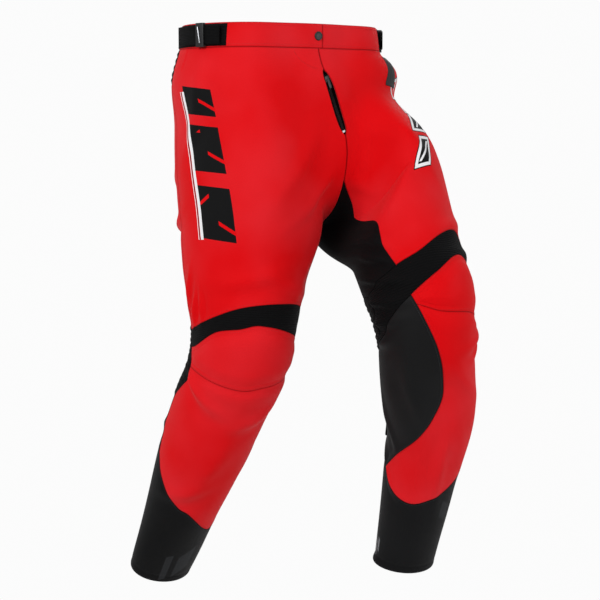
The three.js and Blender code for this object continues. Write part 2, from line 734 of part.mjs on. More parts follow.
function addWaistband() {
  const socketRadius = 0.62 * snapRadius;
  const snapHole = lathe([
    [0, -8], [socketRadius + clearance, -8], [socketRadius + clearance, 8], [0, 8],
  ]).applyMatrix4(snapFrame(0));
  const right = waistGeometry(-hipEnd, flyLap, 0, bandHeight, 0, bandThickness);
  add('waistband_front_right', cut(right, snapHole), redCloth);
  add('waistband_front_left', waistGeometry(flyLap, hipEnd, 0, bandHeight, 0, bandThickness), redCloth);
  add('waistband_back', waistGeometry(hipEnd, 360 - hipEnd, 0, bandHeight, 0, bandThickness), redCloth);
  const tabHeight = -bandThickness - layerGap;
  add('snap_tab', waistGeometry(-9, 13, 3, bandHeight - 3, tabHeight, clothThickness), redCloth);
  const elasticHeight = -bandThickness - layerGap;
  add('waist_elastic', waistGeometry(hipEnd + 6, 354 - hipEnd, 7, bandHeight - 7, elasticHeight, 1.2), blackCloth);
  const gripHeight = elasticHeight - 1.2 - clearance;
  add('waist_grip_strip', waistGeometry(hipEnd + 24, 336 - hipEnd, 13, bandHeight - 13, gripHeight, 0.8), blackPlastic);

  const capThickness = 2.4;
  const cap = lathe([
    [0, 0], [0.9 * snapRadius, 0], [snapRadius, 0.35 * capThickness], [0.8 * snapRadius, 0.85 * capThickness],
    [0, capThickness],
  ], 16);
  add('snap_cap', cap, blackPlastic, snapFrame(clearance));
  const socketBore = 0.4 * snapRadius;
  const socket = lathe([
    [socketBore, -bandThickness], [socketRadius, -bandThickness], [socketRadius, 0], [socketBore, 0],
    [socketBore, -bandThickness],
  ]);
  add('snap_socket', socket, plainMetal, snapFrame(0));
  const stud = lathe([
    [0, clearance], [socketBore - clearance, clearance], [socketBore - clearance, bandThickness - clearance],
    [0, bandThickness],
  ]);
  add('snap_stud', stud, plainMetal, snapFrame(tabHeight));
  const rivet = lathe([[0, -1.2], [0.6 * snapRadius, -1], [0.6 * snapRadius, 0], [0, 0]]);
  add('snap_rivet', rivet, plainMetal, snapFrame(tabHeight - clothThickness - clearance));
}

// ---------------------------------------------------------------- side adjusters
// A webbing base is sewn on the band. The strap is a curved strip that slides round the hip
// through a loop, and a prong on the loop holds it.
const baseFrom = 62;
const baseTo = 116;
const strapFrom = 65;
const strapTo = 100;
const loopAngle = 77;
const baseThickness = 1.1;
const innerWall = 1.2;
const outerWall = 2;
const strapRoom = 0.8;       // between the strap and the loop's walls

function circleThrough(a, b, c) {
  const d = 2 * (a.x * (b.y - c.y) + b.x * (c.y - a.y) + c.x * (a.y - b.y));
  const [aa, bb, cc] = [a, b, c].map((p) => p.x * p.x + p.y * p.y);
  const x = (aa * (b.y - c.y) + bb * (c.y - a.y) + cc * (a.y - b.y)) / d;
  const y = (aa * (c.x - b.x) + bb * (a.x - c.x) + cc * (b.x - a.x)) / d;
  return { x, y, radius: Math.hypot(a.x - x, a.y - y) };
}

const strapBack = layerGap + baseThickness + clearance + innerWall + strapRoom;

function addAdjuster(side) {
  const name = sideName[side];
  const middleDepth = bandHeight / 2;
  const halfStrap = strapHeight / 2;
  const [start, end] = side > 0 ? [baseFrom, baseTo] : [-baseTo, -baseFrom];
  const base = waistGeometry(start, end, 2, bandHeight - 2, layerGap + baseThickness, baseThickness);
  add(`adjuster_base_${name}`, base, blackCloth);

  // The strap stands on the widest part of the band, which is its lower edge.
  const onStrap = (angle) => waistPlace(side * angle, bandHeight - 2, strapBack);
  const circle = circleThrough(onStrap(strapFrom), onStrap(loopAngle), onStrap(strapTo));
  for (let angle = strapFrom; angle <= strapTo; angle += 2.5) {
    const point = onStrap(angle);
    circle.radius = Math.max(circle.radius, Math.hypot(point.x - circle.x, point.y - circle.y));
  }
  const heading = (angle) => {
    const point = onStrap(angle);
    return Math.atan2(point.y - circle.y, point.x - circle.x);
  };
  const fullTurn = 2 * Math.PI;
  const first = (heading(strapFrom) + fullTurn) % fullTurn;
  const sweep = Math.abs((heading(strapTo) + fullTurn) % fullTurn - first);
  const shorter = side * Math.min(sweep, fullTurn - sweep);
  const onCircle = (turn, z, height) => new THREE.Vector3(
    circle.x + (circle.radius + height) * Math.cos(turn),
    circle.y + (circle.radius + height) * Math.sin(turn),
    z,
  );
  const strapSpot = (s, t, height) => onCircle(
    first + shorter * s,
    -middleDepth + halfStrap - strapHeight * t,
    height,
  );
  const strap = sheetGeometry(strapSpot, 8, 1, strapThickness, strapThickness, side > 0);
  add(`adjuster_strap_${name}`, strap, blackCloth);

  // The loop's frame: x out of the hip, y up, z round the hip.
  const turn = heading(loopAngle);
  const out = new THREE.Vector3(Math.cos(turn), Math.sin(turn), 0);
  const round = new THREE.Vector3().crossVectors(out, zAxis);
  const loopFrame = new THREE.Matrix4().makeBasis(out, zAxis, round)
    .setPosition(onCircle(turn, -middleDepth, 0));
  const windowIn = -strapRoom;
  const windowOut = strapThickness + strapRoom;
  const windowHalf = halfStrap + strapRoom;
  const lowest = middleDepth + windowHalf + loopWall;
  const footPoint = waistPlace(side * loopAngle, lowest, layerGap + baseThickness + clearance);
  const foot = footPoint.applyMatrix4(loopFrame.clone().invert()).x;   // the loop stands on the base
  const wall = new THREE.Shape();
  wall.moveTo(foot, -windowHalf - loopWall);
  wall.lineTo(windowOut + outerWall, -windowHalf - loopWall);
  wall.lineTo(windowOut + outerWall, windowHalf + loopWall);
  wall.lineTo(foot, windowHalf + loopWall);
  wall.closePath();
  const opening = new THREE.Path();
  opening.moveTo(windowIn, -windowHalf);
  opening.lineTo(windowIn, windowHalf);
  opening.lineTo(windowOut, windowHalf);
  opening.lineTo(windowOut, -windowHalf);
  opening.closePath();
  wall.holes.push(opening);
  const loop = new THREE.ExtrudeGeometry(wall, { depth: loopLength, bevelEnabled: false });
  loop.translate(0, 0, -loopLength / 2);
  add(`adjuster_loop_${name}`, loop, blackPlastic, loopFrame);

  // The prong leans across the loop from its foot at the bottom.
  const prongRadius = 1.2;
  const prongLength = strapHeight - 4;
  const prong = new THREE.CylinderGeometry(prongRadius, prongRadius, prongLength, 8);
  prong.rotateX(-radians(9) * side);
  prong.translate(windowOut + outerWall + clearance + prongRadius, 0, 0);
  add(`adjuster_prong_${name}`, prong, plainMetal, loopFrame);
}

function addHipPatch() {
  add('hip_patch_left', panelGeometry(1, {
    left: (depth) => 24 - 8 * smoothstep(bandHeight + 14, bandHeight + 84, depth),
    right: (depth) => 42 - 6 * smoothstep(bandHeight + 14, bandHeight + 84, depth),
    top: level(bandHeight + 12),
    bottom: level(bandHeight + 78),
  }, { thickness: 1, outside: liningGap + 1 }), blackPlastic);
}

addWaistband();
addZip();
addFlyLining();
addHipPatch();
for (const side of [-1, 1]) {
  addAdjuster(side);
  addThighPanels(side);
  addKnee(side);
  addLowerLeg(side);
}

export default pants;
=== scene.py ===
import math

import bmesh
import bpy
import numpy as np
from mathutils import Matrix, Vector


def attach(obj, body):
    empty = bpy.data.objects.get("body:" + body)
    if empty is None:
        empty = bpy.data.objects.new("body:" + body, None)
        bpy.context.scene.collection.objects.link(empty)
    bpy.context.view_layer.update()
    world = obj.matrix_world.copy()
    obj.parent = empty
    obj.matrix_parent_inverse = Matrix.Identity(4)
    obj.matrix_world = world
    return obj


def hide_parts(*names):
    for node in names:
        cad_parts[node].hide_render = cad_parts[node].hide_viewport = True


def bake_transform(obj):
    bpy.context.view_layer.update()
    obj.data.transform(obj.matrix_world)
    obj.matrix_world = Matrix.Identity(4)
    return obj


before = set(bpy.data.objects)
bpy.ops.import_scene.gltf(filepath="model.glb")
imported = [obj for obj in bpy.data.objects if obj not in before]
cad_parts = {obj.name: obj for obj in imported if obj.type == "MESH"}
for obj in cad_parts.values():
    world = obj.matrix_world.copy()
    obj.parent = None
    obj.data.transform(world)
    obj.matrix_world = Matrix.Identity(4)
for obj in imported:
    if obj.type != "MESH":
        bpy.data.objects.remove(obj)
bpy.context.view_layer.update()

# Padded off-road riding pants. The form is worked out in millimetres and the meshes are in metres.
# A place on a leg has three coordinates: across (degrees: 0 front, 90 outer side, 180 back,
# -90 and 270 inner side), depth (mm down the unbent leg from the waist rim) and height (mm out).
RIGHT = -1
LEFT = 1
SIDE_NAME = {RIGHT: "right", LEFT: "left"}
MM = 0.001

# ---------------------------------------------------------------- sizes, in millimetres
waist_width, waist_depth = 332, 242
hip_width, hip_depth = 384, 264
rise, thigh_length, shin_length = 332, 228, 467
thigh_width, thigh_depth = 206, 268
knee_width, knee_depth = 164, 172
calf_width, calf_depth = 154, 158
hem_width, hem_depth = 116, 86
leg_middle = 192 / 2
band_height = 40
cloth = 1.6
band_cloth = 2.6
stretch_cloth = 2.2
leather = 1.8
zip_length = 104
zip_width = 14
joint_blend = 34
fold_strength = 2.3
left_hip_puff = 13
left_ankle_slimming = 9

hip_station = 0.43 * rise
seat_station = 0.78 * rise
mid_thigh = rise + 0.3 * thigh_length
knee = rise + thigh_length
calf_station = knee + 0.34 * shin_length
ankle_station = knee + 0.69 * shin_length
hem = knee + shin_length
stations = [0, hip_station, seat_station, mid_thigh, knee, calf_station, ankle_station, hem]


# ---------------------------------------------------------------- smooth curves
def smooth(low, high, x):
    """0 at low and 1 at high, with an even curve between them."""
    s = np.clip((x - low) / (high - low), 0, 1)
    return s * s * (3 - 2 * s)


def bell(x, width):
    """1 at the middle, falling evenly to nothing a few widths away."""
    return np.exp(-((x / width) ** 2))


def profile(pairs):
    """A smooth curve through a few (place, value) pairs, level before the first and after the last."""
    at = np.array([p[0] for p in pairs], float)
    value = np.array([p[1] for p in pairs], float)
    last = len(at) - 1
    before = np.maximum(np.arange(last + 1) - 1, 0)
    after = np.minimum(np.arange(last + 1) + 1, last)
    slope = (value[after] - value[before]) / (at[after] - at[before])

    def curve(place):
        x = np.clip(np.asarray(place, float), at[0], at[-1])
        i = np.clip(np.searchsorted(at, x, side="right") - 1, 0, last - 1)
        width = at[i + 1] - at[i]
        s = (x - at[i]) / width
        rise_share = (3 - 2 * s) * s * s
        leave = s * (1 - s) ** 2 * width
        arrive = s * s * (s - 1) * width
        return (value[i] * (1 - rise_share) + value[i + 1] * rise_share
                + slope[i] * leave + slope[i + 1] * arrive)

    return curve


def level(value):
    return lambda x: np.full(np.shape(x), float(value))


def along_leg(values):
    return profile(list(zip(stations, values)))


# ---------------------------------------------------------------- the unbent form
leg_half_width = along_leg([
    0.4 * waist_width / 2, 0.46 * thigh_width, thigh_width / 2, 0.47 * thigh_width,
    knee_width / 2, calf_width / 2, 0.43 * calf_width, hem_width / 2,
])
leg_half_depth = along_leg([
    0.86 * waist_depth / 2, 0.485 * thigh_depth, thigh_depth / 2, 0.418 * thigh_depth,
    knee_depth / 2, calf_depth / 2, 0.373 * calf_depth, hem_depth / 2,
])
leg_forward = profile([(0, 0), (mid_thigh, 0), (knee - 80, -4), (knee, 8), (knee + 80, 4), (hem, 0)])
leg_aside = profile([
    (0, leg_middle), (hip_station, 1.02 * leg_middle), (seat_station, 1.08 * leg_middle),
    (mid_thigh, 1.06 * leg_middle), (knee, leg_middle), (hem, leg_middle),
])


def hip_taper(rim, full, low):
    return profile([
        (0, rim / 2), (band_height, rim / 2), (0.29 * rise, full / 2), (0.46 * rise, 0.475 * full),
        (0.64 * rise, low[0] * full), (0.78 * rise, low[1] * full), (0.9 * rise, low[2] * full),
        (0.97 * rise, low[3] * full), (1.03 * rise, 0.03 * full),
    ])


hip_half_width = hip_taper(waist_width, hip_width, [0.37, 0.28, 0.18, 0.1])
hip_half_depth = hip_taper(waist_depth, hip_depth, [0.45, 0.4, 0.29, 0.16])


def oval_distance(x, y, half_width, half_depth):
    reach = np.hypot(x / half_width, y / half_depth) + 1e-9
    slope = np.hypot(x / half_width ** 2, y / half_depth ** 2) + 1e-9
    return reach * (reach - 1) / slope


def form_field(x, y, depth, sizes=None):
    """Negative inside the form. x is measured from the middle plane towards the leg."""
    aside, forward, lw, ld, hw, hd, leg_only = sizes if sizes is not None else sizes_at(depth)
    leg = oval_distance(x - aside, y - forward, lw, ld)
    hips = oval_distance(x, y, hw, hd)
    mix = np.clip(0.5 + 0.5 * (hips - leg) / joint_blend, 0, 1)
    joined = hips * (1 - mix) + leg * mix - joint_blend * mix * (1 - mix)
    return joined * (1 - leg_only) + leg * leg_only


def sizes_at(depth):
    return (
        leg_aside(depth), leg_forward(depth), leg_half_width(depth), leg_half_depth(depth),
        hip_half_width(depth), hip_half_depth(depth), smooth(0.97 * rise, 1.06 * rise, depth),
    )


def reach_out(x0, y0, dx, dy, depth, near=5.0, far=300.0):
    """Where a level ray leaves the form."""
    sizes = sizes_at(depth)
    low = np.full(np.shape(depth), near)
    high = np.full(np.shape(depth), far)
    for _ in range(30):
        middle = (low + high) / 2
        inside = form_field(x0 + dx * middle, y0 + dy * middle, depth, sizes) < 0
        low = np.where(inside, middle, low)
        high = np.where(inside, high, middle)
    return low


def form_normal(x, y, depth):
    step = 0.5
    sizes = sizes_at(depth)
    nx = form_field(x + step, y, depth, sizes) - form_field(x - step, y, depth, sizes)
    ny = form_field(x, y + step, depth, sizes) - form_field(x, y - step, depth, sizes)
    nz = form_field(x, y, depth - step) - form_field(x, y, depth + step)
    length = np.sqrt(nx * nx + ny * ny + nz * nz)
    return nx / length, ny / length, nz / length


# ---------------------------------------------------------------- the worn shape
worn = {
    RIGHT: {"hip_bend": 5, "hip_spread": 6, "turn": -4, "knee_bend": 34, "knee_spread": 2,
            "ankle_spread": -3},
    LEFT: {"hip_bend": 36, "hip_spread": -1, "turn": -14, "knee_bend": 50, "knee_spread": 14.5,
           "ankle_spread": -13},
}
hip_shift = (27, -22)
middle_shift = profile([
    (band_height, 0), (band_height + 40, 3), (band_height + 75, 14), (0.54 * rise, 17), (0.78 * rise, 20),
    (1.05 * rise, 24), (1.3 * rise, 9), (1.5 * rise, 0),
])
left_hip_fullness = 8


def turned(p, q, centre_p, centre_q, angle):
    c = np.cos(np.radians(angle))
    s = np.sin(np.radians(angle))
    p, q = p - centre_p, q - centre_q
    return p * c - q * s + centre_p, p * s + q * c + centre_q


def pose(side, x, y, z):
    """Bends the unbent form into the worn shape. x is already on the leg's own side."""
    bend = worn[side]
    depth = -z
    below_fork = np.maximum(0, depth - 0.99 * rise)
    leg_share = smooth(0, 1, (np.abs(x) + below_fork) / (1.25 * leg_middle))
    hip_share = smooth(0.09 * rise, 0.87 * rise, depth) * leg_share
    knee_share = smooth(knee - 95, knee + 95, depth)
    turn_share = smooth(100, knee - 80, depth) * leg_share
    near_middle = 1 - smooth(0, 1.1 * leg_middle, np.abs(x))
    ankle_share = smooth(knee + 0.23 * shin_length, knee + 0.64 * shin_length, depth)
    middle = side * leg_middle
    z, x = turned(z, x, -knee - 0.36 * shin_length, middle, -side * bend["ankle_spread"] * ankle_share)
    x, y = turned(x, y, middle, 0, side * bend["turn"] * turn_share)
    z, x = turned(z, x, -knee, middle, -side * bend["knee_spread"] * knee_share)
    y, z = turned(y, z, 0, -knee, bend["knee_bend"] * knee_share)
    z, x = turned(z, x, -hip_station, middle, -side * bend["hip_spread"] * hip_share)
    y, z = turned(y, z, 0, -hip_station, -bend["hip_bend"] * hip_share)
    shift = smooth(band_height, rise * (1 - 0.33 * near_middle), depth)
    x = x + middle_shift(depth) * near_middle + hip_shift[0] * shift
    return np.stack([x, y + hip_shift[1] * shift, z], axis=-1)


def fullness(side, across, depth):
    """The raised thigh fills out the left hip under the band, in mm."""
    if side == RIGHT:
        return 0.0
    return left_hip_fullness * bell(depth - band_height - 52, 30) * bell(across - 60, 50)


def place(side, across, depth, height=0.0, middle_gap=0.4):
    """Points on the worn form by angle round the leg and depth, raised by height."""
    across, depth = np.broadcast_arrays(np.asarray(across, float), np.asarray(depth, float))
    turn = np.radians(across)
    dx, dy = np.sin(turn), -np.cos(turn)
    x0, y0 = leg_aside(depth), leg_forward(depth)
    reach = reach_out(x0, y0, dx, dy, depth)
    x, y = x0 + dx * reach, y0 + dy * reach
    nx, ny, nz = form_normal(x, y, depth)
    height = height + fullness(side, across, depth)
    x = np.maximum(x + nx * height, middle_gap) * side
    return pose(side, x, y + ny * height, -depth + nz * height)


def waist_place(angle, depth, height=0.0):
    """Points near the waist by the angle round the body: 0 front, 90 the left side, 180 back."""
    angle, depth = np.broadcast_arrays(np.asarray(angle, float), np.asarray(depth, float))
    turn = np.radians(angle)
    side = np.where(np.sin(turn) < 0, -1.0, 1.0)
    dx, dy = np.abs(np.sin(turn)), -np.cos(turn)
    reach = reach_out(0.0, 0.0, dx, dy, depth)
    x, y = dx * reach, dy * reach
    nx, ny, nz = form_normal(x, y, depth)
    x, y, z = (x + nx * height) * side, y + ny * height, -depth + nz * height
    return both_sides(side, x, y, z)


def both_sides(side, x, y, z):
    return np.where((side < 0)[..., None], pose(RIGHT, x, y, z), pose(LEFT, x, y, z))


def fly_place(aside, depth, height=0.0):
    """Points near the fly by the distance to the wearer's left of the middle."""
    aside, depth = np.broadcast_arrays(np.asarray(aside, float), np.asarray(depth, float))
    side = np.where(aside < 0, -1.0, 1.0)
    reach = reach_out(np.abs(aside), 0.0, 0.0, -1.0, depth, near=0.0)
    nx, ny, nz = form_normal(np.abs(aside), -reach, depth)
    return both_sides(side, aside, -reach + ny * height, -depth + nz * height)


def middle_seam(back):
    """The seam in the middle plane as an angle for a depth. Below the fork it is the inner side."""
    depth = np.linspace(0, 1.2 * rise, 700)
    y0 = leg_forward(depth)
    inside = form_field(np.zeros_like(depth), y0, depth) < 0
    reach = reach_out(0.0, y0, 0.0, 1.0 if back else -1.0, depth, near=0.0, far=200.0)
    angle = np.degrees(np.arctan2(leg_aside(depth), reach))
    value = 180 + angle if back else -angle
    value = np.where(inside, value, 270 if back else -90)
    return lambda d: np.interp(d, depth, value)


front_seam = middle_seam(False)
back_seam = middle_seam(True)


def middle_seam_depth():
    """The middle seam turned about: its depth for an angle on the inner side."""
    across = np.linspace(-180, 0, 721)
    above = np.zeros_like(across)
    under = np.full_like(across, 1.06 * rise)
    for _ in range(26):
        depth = (above + under) / 2
        passed = np.where(across > -90, front_seam(depth) < across, back_seam(depth) - 360 > across)
        under = np.where(passed, depth, under)
        above = np.where(passed, above, depth)
    value = (above + under) / 2
    return lambda a: np.interp(a, across, value)


seam_depth = middle_seam_depth()

# ---------------------------------------------------------------- where the panels meet
side_seam = 116
fly_top = band_height + 36
fly_bottom = fly_top + zip_length
gusset_top = fly_bottom + 48
yoke_bottom = band_height + 58
calf_seam = -128



def each_side(right, left):
    return {RIGHT: profile(right), LEFT: profile(left)}


gusset_front = each_side(
    [(gusset_top, -52), (rise - 60, -62), (knee - 70, -62)],
    [(gusset_top, -45), (rise - 70, -44), (rise + 16, -42), (knee - 110, -44), (knee - 70, -37)],
)
gusset_back = profile([(gusset_top, -106), (rise, -124), (knee - 150, -138), (knee - 60, -146)])
band_top = each_side(
    [(-90, knee - 80), (-36, knee - 94), (-3, knee - 94), (33, knee - 86), (66, knee - 70),
     (side_seam, knee - 43)],
    [(-90, knee - 55), (-36, knee - 70), (-9, knee - 78), (36, knee - 110), (72, knee - 96),
     (side_seam, knee - 43)],
)
band_bottom = each_side(
    [(-90, knee - 5), (-62, knee - 40), (-24, knee - 54), (18, knee - 62), (36, knee - 56), (66, knee - 47),
     (102, knee - 15), (side_seam, knee - 8)],
    [(-90, knee + 25), (-60, knee - 12), (-30, knee - 31), (0, knee - 47), (42, knee - 70), (78, knee - 48),
     (side_seam, knee - 8)],
)
hollow_top = each_side(
    [(side_seam, knee - 43), (160, knee - 82), (225, knee - 90), (270, knee - 80)],
    [(side_seam, knee - 43), (160, knee - 82), (225, knee - 80), (270, knee - 55)],
)
hollow_bottom = each_side(
    [(124, knee + 118), (180, knee + 110), (232, knee + 50), (270, knee - 5)],
    [(124, knee + 118), (180, knee + 110), (232, knee + 66), (270, knee + 25)],
)
crease = each_side(
    [(-62, knee + 4), (-48, knee + 9), (-3, knee + 17), (24, knee + 25), (90, knee + 25)],
    [(-32, knee - 22), (-3, knee - 7), (48, knee + 3), (100, knee + 24)],
)
outer_edge = profile([
    (knee - 43, side_seam), (knee - 8, side_seam - 4), (knee + 38, 99), (knee + 78, 108),
    (knee + 118, 122), (knee + 170, 118), (knee + 214, 107),
])
leather_front = each_side(
    [(knee - 36, -62), (knee + 66, -64), (knee + 145, -66), (knee + 236, -76), (knee + 275, -86)],
    [(knee - 45, -36), (knee - 30, -31), (knee + 2, -20), (knee + 34, -9), (knee + 66, -3),
     (knee + 104, -3),
     (knee + 145, -16), (knee + 190, -36), (knee + 236, -64), (knee + 275, -86)],
)
cuff_top = each_side(
    [(-180, knee + 214), (calf_seam, knee + 240), (-88, knee + 300), (-48, knee + 341), (-21, knee + 333),
     (24, knee + 293), (42, knee + 285), (66, knee + 262), (87, knee + 238), (107, knee + 214),
     (180, knee + 214)],
    [(-180, knee + 214), (calf_seam, knee + 240), (-88, knee + 274), (-70, knee + 301), (-50, knee + 317),
     (-28, knee + 323), (-6, knee + 317), (24, knee + 299), (45, knee + 284), (68, knee + 260),
     (107, knee + 214),
     (180, knee + 214)],
)


def fly_opening(depth):
    """Half the width of the open slot over the zip, by depth: a slim crescent."""
    s = np.clip((depth - fly_top) / (fly_bottom - fly_top), 0, 1)
    return (0.5 * zip_width - 0.4) * np.sqrt(np.clip(1 - (2 * s - 1) ** 6, 0, 1)) * (s > 0) * (s < 1)


def fly_bow(depth):
    """How far the middle seam bows to the left of the straight zip, in mm."""
    def aside(d):
        return hip_shift[0] * smooth(band_height, 0.67 * rise, d) + middle_shift(d)
    s = np.clip((depth - fly_top) / (fly_bottom - fly_top), 0, 1)
    return aside(depth) - (1 - s) * aside(fly_top) - s * aside(fly_bottom)


def front_edge(side, depth):
    """The inner edge of the front panel: the middle seam, set back along the open fly."""
    opening = fly_opening(depth)
    opening = np.clip(opening - side * fly_bow(depth) * (opening > 0), 0.3, None) * (opening > 0)
    reach = leg_aside(depth) / np.tan(np.radians(np.clip(-front_seam(depth), 1, 89.5)))
    seam = -np.degrees(np.arctan2(leg_aside(depth) - opening, reach))
    open_share = (depth > fly_top) & (depth < fly_bottom)
    edge = np.where(open_share, seam, front_seam(depth))
    return np.where(depth < gusset_top, edge, np.maximum(gusset_front[side](depth), front_seam(depth)))


# ---------------------------------------------------------------- how the cloth lies
def ridge(side, across, depth, at, heading, length, width, height):
    """One soft fold: at (across, depth), its heading in degrees from level, and its size in mm."""
    mean = np.sqrt(leg_half_width(at[1]) * leg_half_depth(at[1]))
    u = np.radians(across - at[0]) * mean
    v = depth - at[1]
    c, s = math.cos(math.radians(heading)), math.sin(math.radians(heading))
    along, off = u * c + v * s, -u * s + v * c
    bow = off + 0.0016 * along * along
    return height * bell(along, length) * (bell(bow, width) - 0.45 * bell(bow - 1.6 * width, 1.3 * width))


FOLDS = {
    RIGHT: [
        ((98, knee - 78), 70, 26, 5, 2.6), ((84, knee - 84), 84, 22, 5, 2.0),
        ((108, knee - 110), 58, 34, 7, 2.4),
        ((-30, rise - 60), 62, 60, 9, 2.6), ((-14, rise - 100), 66, 70, 12, 2.0),
        ((-38, rise + 40), 82, 60, 10, 1.8),
        ((30, knee - 128), 12, 60, 13, 1.6), ((-20, knee - 120), -14, 50, 12, 1.8),
        ((70, rise - 190), 70, 90, 16, 1.6),
        ((86, knee + 46), -28, 34, 8, 2.4), ((64, knee + 60), -18, 44, 11, 2.0),
        ((-12, knee + 70), 30, 46, 12, 2.0),
        ((150, rise + 10), 10, 60, 9, 3.0), ((196, rise + 24), -12, 60, 9, 3.0),
        ((170, rise - 60), 4, 70, 12, 2.2),
        ((160, knee + 190), 20, 50, 10, 2.2), ((40, knee + 250), 30, 50, 14, 1.6),
        ((-70, knee + 130), 70, 60, 12, 1.8),
        ((214, knee + 190), 80, 60, 11, 2.0), ((20, knee + 190), 75, 80, 18, 1.6),
    ],
    LEFT: [
        ((-58, knee - 96), 34, 44, 6.5, 3.2), ((-66, knee - 66), 26, 46, 6, 3.4),
        ((-74, knee - 36), 16, 46, 6, 3.4),
        ((-52, knee - 124), 48, 40, 8, 2.6), ((-84, knee - 8), 6, 44, 7, 3.0),
        ((-96, knee + 26), -8, 44, 8, 2.6),
        ((-34, rise - 50), 58, 60, 9, 2.6), ((-10, rise - 90), 62, 70, 12, 2.2),
        ((8, rise - 30), 66, 80, 14, 1.8),
        ((40, knee - 120), -22, 56, 13, 1.8), ((74, knee - 96), -48, 40, 9, 2.2),
        ((60, rise - 200), 74, 80, 16, 1.6),
        ((60, knee + 40), -10, 40, 7, 2.6), ((78, knee + 52), -22, 34, 7, 2.6),
        ((30, knee + 96), 52, 50, 12, 2.2),
        ((2, knee + 250), 84, 70, 12, 2.6), ((22, knee + 200), 70, 70, 16, 2.0),
        ((-40, knee + 100), 76, 60, 14, 1.8),
        ((150, rise + 30), 14, 60, 9, 3.2), ((200, rise + 20), -10, 60, 9, 3.2),
        ((180, rise - 50), 2, 70, 12, 2.4),
        ((160, knee + 180), 24, 50, 10, 2.2), ((214, knee + 170), 80, 60, 11, 2.0),
        ((-90, knee + 180), 66, 60, 10, 2.0),
    ],
}


def seam_calm(across, depth):
    """0 on the seams in the middle plane, which both legs share, and 1 away from them."""
    front = np.abs(across - front_seam(depth))
    back = np.minimum(np.abs(across - back_seam(depth)), np.abs(across + 360 - back_seam(depth)))
    return np.maximum(smooth(0, 14, np.minimum(front, back)), smooth(rise + 10, rise + 50, depth))


def drape(side, across, depth):
    """The soft unevenness and the folds of worn cloth, in mm."""
    turn = np.radians(across)
    lift = 0.55 * np.sin(2.0 * turn + depth / 47.0 + side) * np.sin(depth / 83.0 + 1.3 * side)
    lift = lift + 0.4 * np.sin(3.0 * turn - depth / 31.0 + 2.0 * side)
    for at, heading, length, width, height in FOLDS[side]:
        lift = lift + fold_strength * ridge(side, across, depth, at, heading, length, width, height)
    behind = bell((across - 192) / 60.0, 1) * bell((depth - knee - 10) / 70.0, 1)
    lift = lift + 1.3 * behind * np.sin(depth / 3.4 + 0.8 * np.sin(turn * 3))
    lift = lift * smooth(band_height + 2, band_height + 60, depth) * seam_calm(across, depth)
    if side == LEFT:
        under_band = smooth(band_height, band_height + 18, depth)
        lift = lift + left_hip_puff * bell(depth - 74, 30) * bell(across - 60, 45) * under_band
        near_ankle = smooth(knee + 160, knee + 260, depth) * bell(across + 95, 55)
        lift = lift - left_ankle_slimming * near_ankle
    return lift


# ---------------------------------------------------------------- meshes
def make_object(name, mesh, material):
    """A named object in the scene with its one material."""
    obj = bpy.data.objects.new(name, mesh)
    bpy.context.scene.collection.objects.link(obj)
    if material is not None:
        mesh.materials.append(material)
    return obj


def sheet_object(name, outer, inner, weave, form, edge, material, mirrored):
    """A closed sheet from an outer and an inner grid of points, in mm."""
    rows, columns = outer.shape[:2]
    points = np.concatenate([outer.reshape(-1, 3), inner.reshape(-1, 3)]) * MM
    at = np.arange(rows * columns).reshape(rows, columns)
    under = at + rows * columns
    a, b, c, d = at[:-1, :-1], at[:-1, 1:], at[1:, 1:], at[1:, :-1]
    faces = [np.stack([a, b, c, d], -1).reshape(-1, 4)]
    a, b, c, d = under[:-1, :-1], under[1:, :-1], under[1:, 1:], under[:-1, 1:]
    faces.append(np.stack([a, b, c, d], -1).reshape(-1, 4))
    faces.append(np.stack([at[:-1, 0], at[1:, 0], under[1:, 0], under[:-1, 0]], -1))
    faces.append(np.stack([at[:-1, -1], under[:-1, -1], under[1:, -1], at[1:, -1]], -1))
    faces.append(np.stack([at[0, :-1], under[0, :-1], under[0, 1:], at[0, 1:]], -1))
    faces.append(np.stack([at[-1, :-1], at[-1, 1:], under[-1, 1:], under[-1, :-1]], -1))
    faces = np.concatenate(faces)
    if mirrored:
        faces = faces[:, ::-1]
    mesh = bpy.data.meshes.new(name)
    mesh.from_pydata(points.tolist(), [], faces.tolist())
    mesh.polygons.foreach_set("use_smooth", np.ones(len(faces), bool))
    corners = np.empty(len(mesh.loops), int)
    mesh.loops.foreach_get("vertex_index", corners)
    layer = mesh.uv_layers.new(name="weave")
    flat = np.concatenate([weave.reshape(-1, 2), weave.reshape(-1, 2)])
    layer.data.foreach_set("uv", flat[corners].astype(np.float32).ravel())
    both = np.concatenate([form.reshape(-1, 3), form.reshape(-1, 3)])
    mesh.attributes.new("form", "FLOAT_VECTOR", "POINT").data.foreach_set("vector",
            both.astype(np.float32).ravel())
    edges = np.concatenate([edge.ravel(), edge.ravel()])
    mesh.attributes.new("edge", "FLOAT", "POINT").data.foreach_set("value", edges.astype(np.float32))
    mesh.validate()
    return make_object(name, mesh, material)


def spread(length, cell):
    """Shares from 0 to 1 that are close together near both ends, where the edge is rolled."""
    near = [0, 0.7, 1.6, 2.8, 4.4]
    if length < 30:
        return np.linspace(0, 1, 12)
    count = max(4, int(round((length - 2 * near[-1]) / cell)))
    middle = np.linspace(near[-1], length - near[-1], count + 1)
    return np.concatenate([near[:-1], middle, [length - n for n in near[-2::-1]]]) / length


def lengths_along(points, axis):
    step = np.linalg.norm(np.diff(points, axis=axis), axis=-1)
    zero = np.zeros_like(np.take(step, [0], axis=axis))
    return np.concatenate([zero, np.cumsum(step, axis=axis)], axis=axis)


def edge_distance(points):
    """How far each grid point is from the nearest edge of its panel, in mm."""
    across = lengths_along(points, 1)
    down = lengths_along(points, 0)
    return np.minimum.reduce([across, across[:, -1:] - across, down, down[-1:] - down])


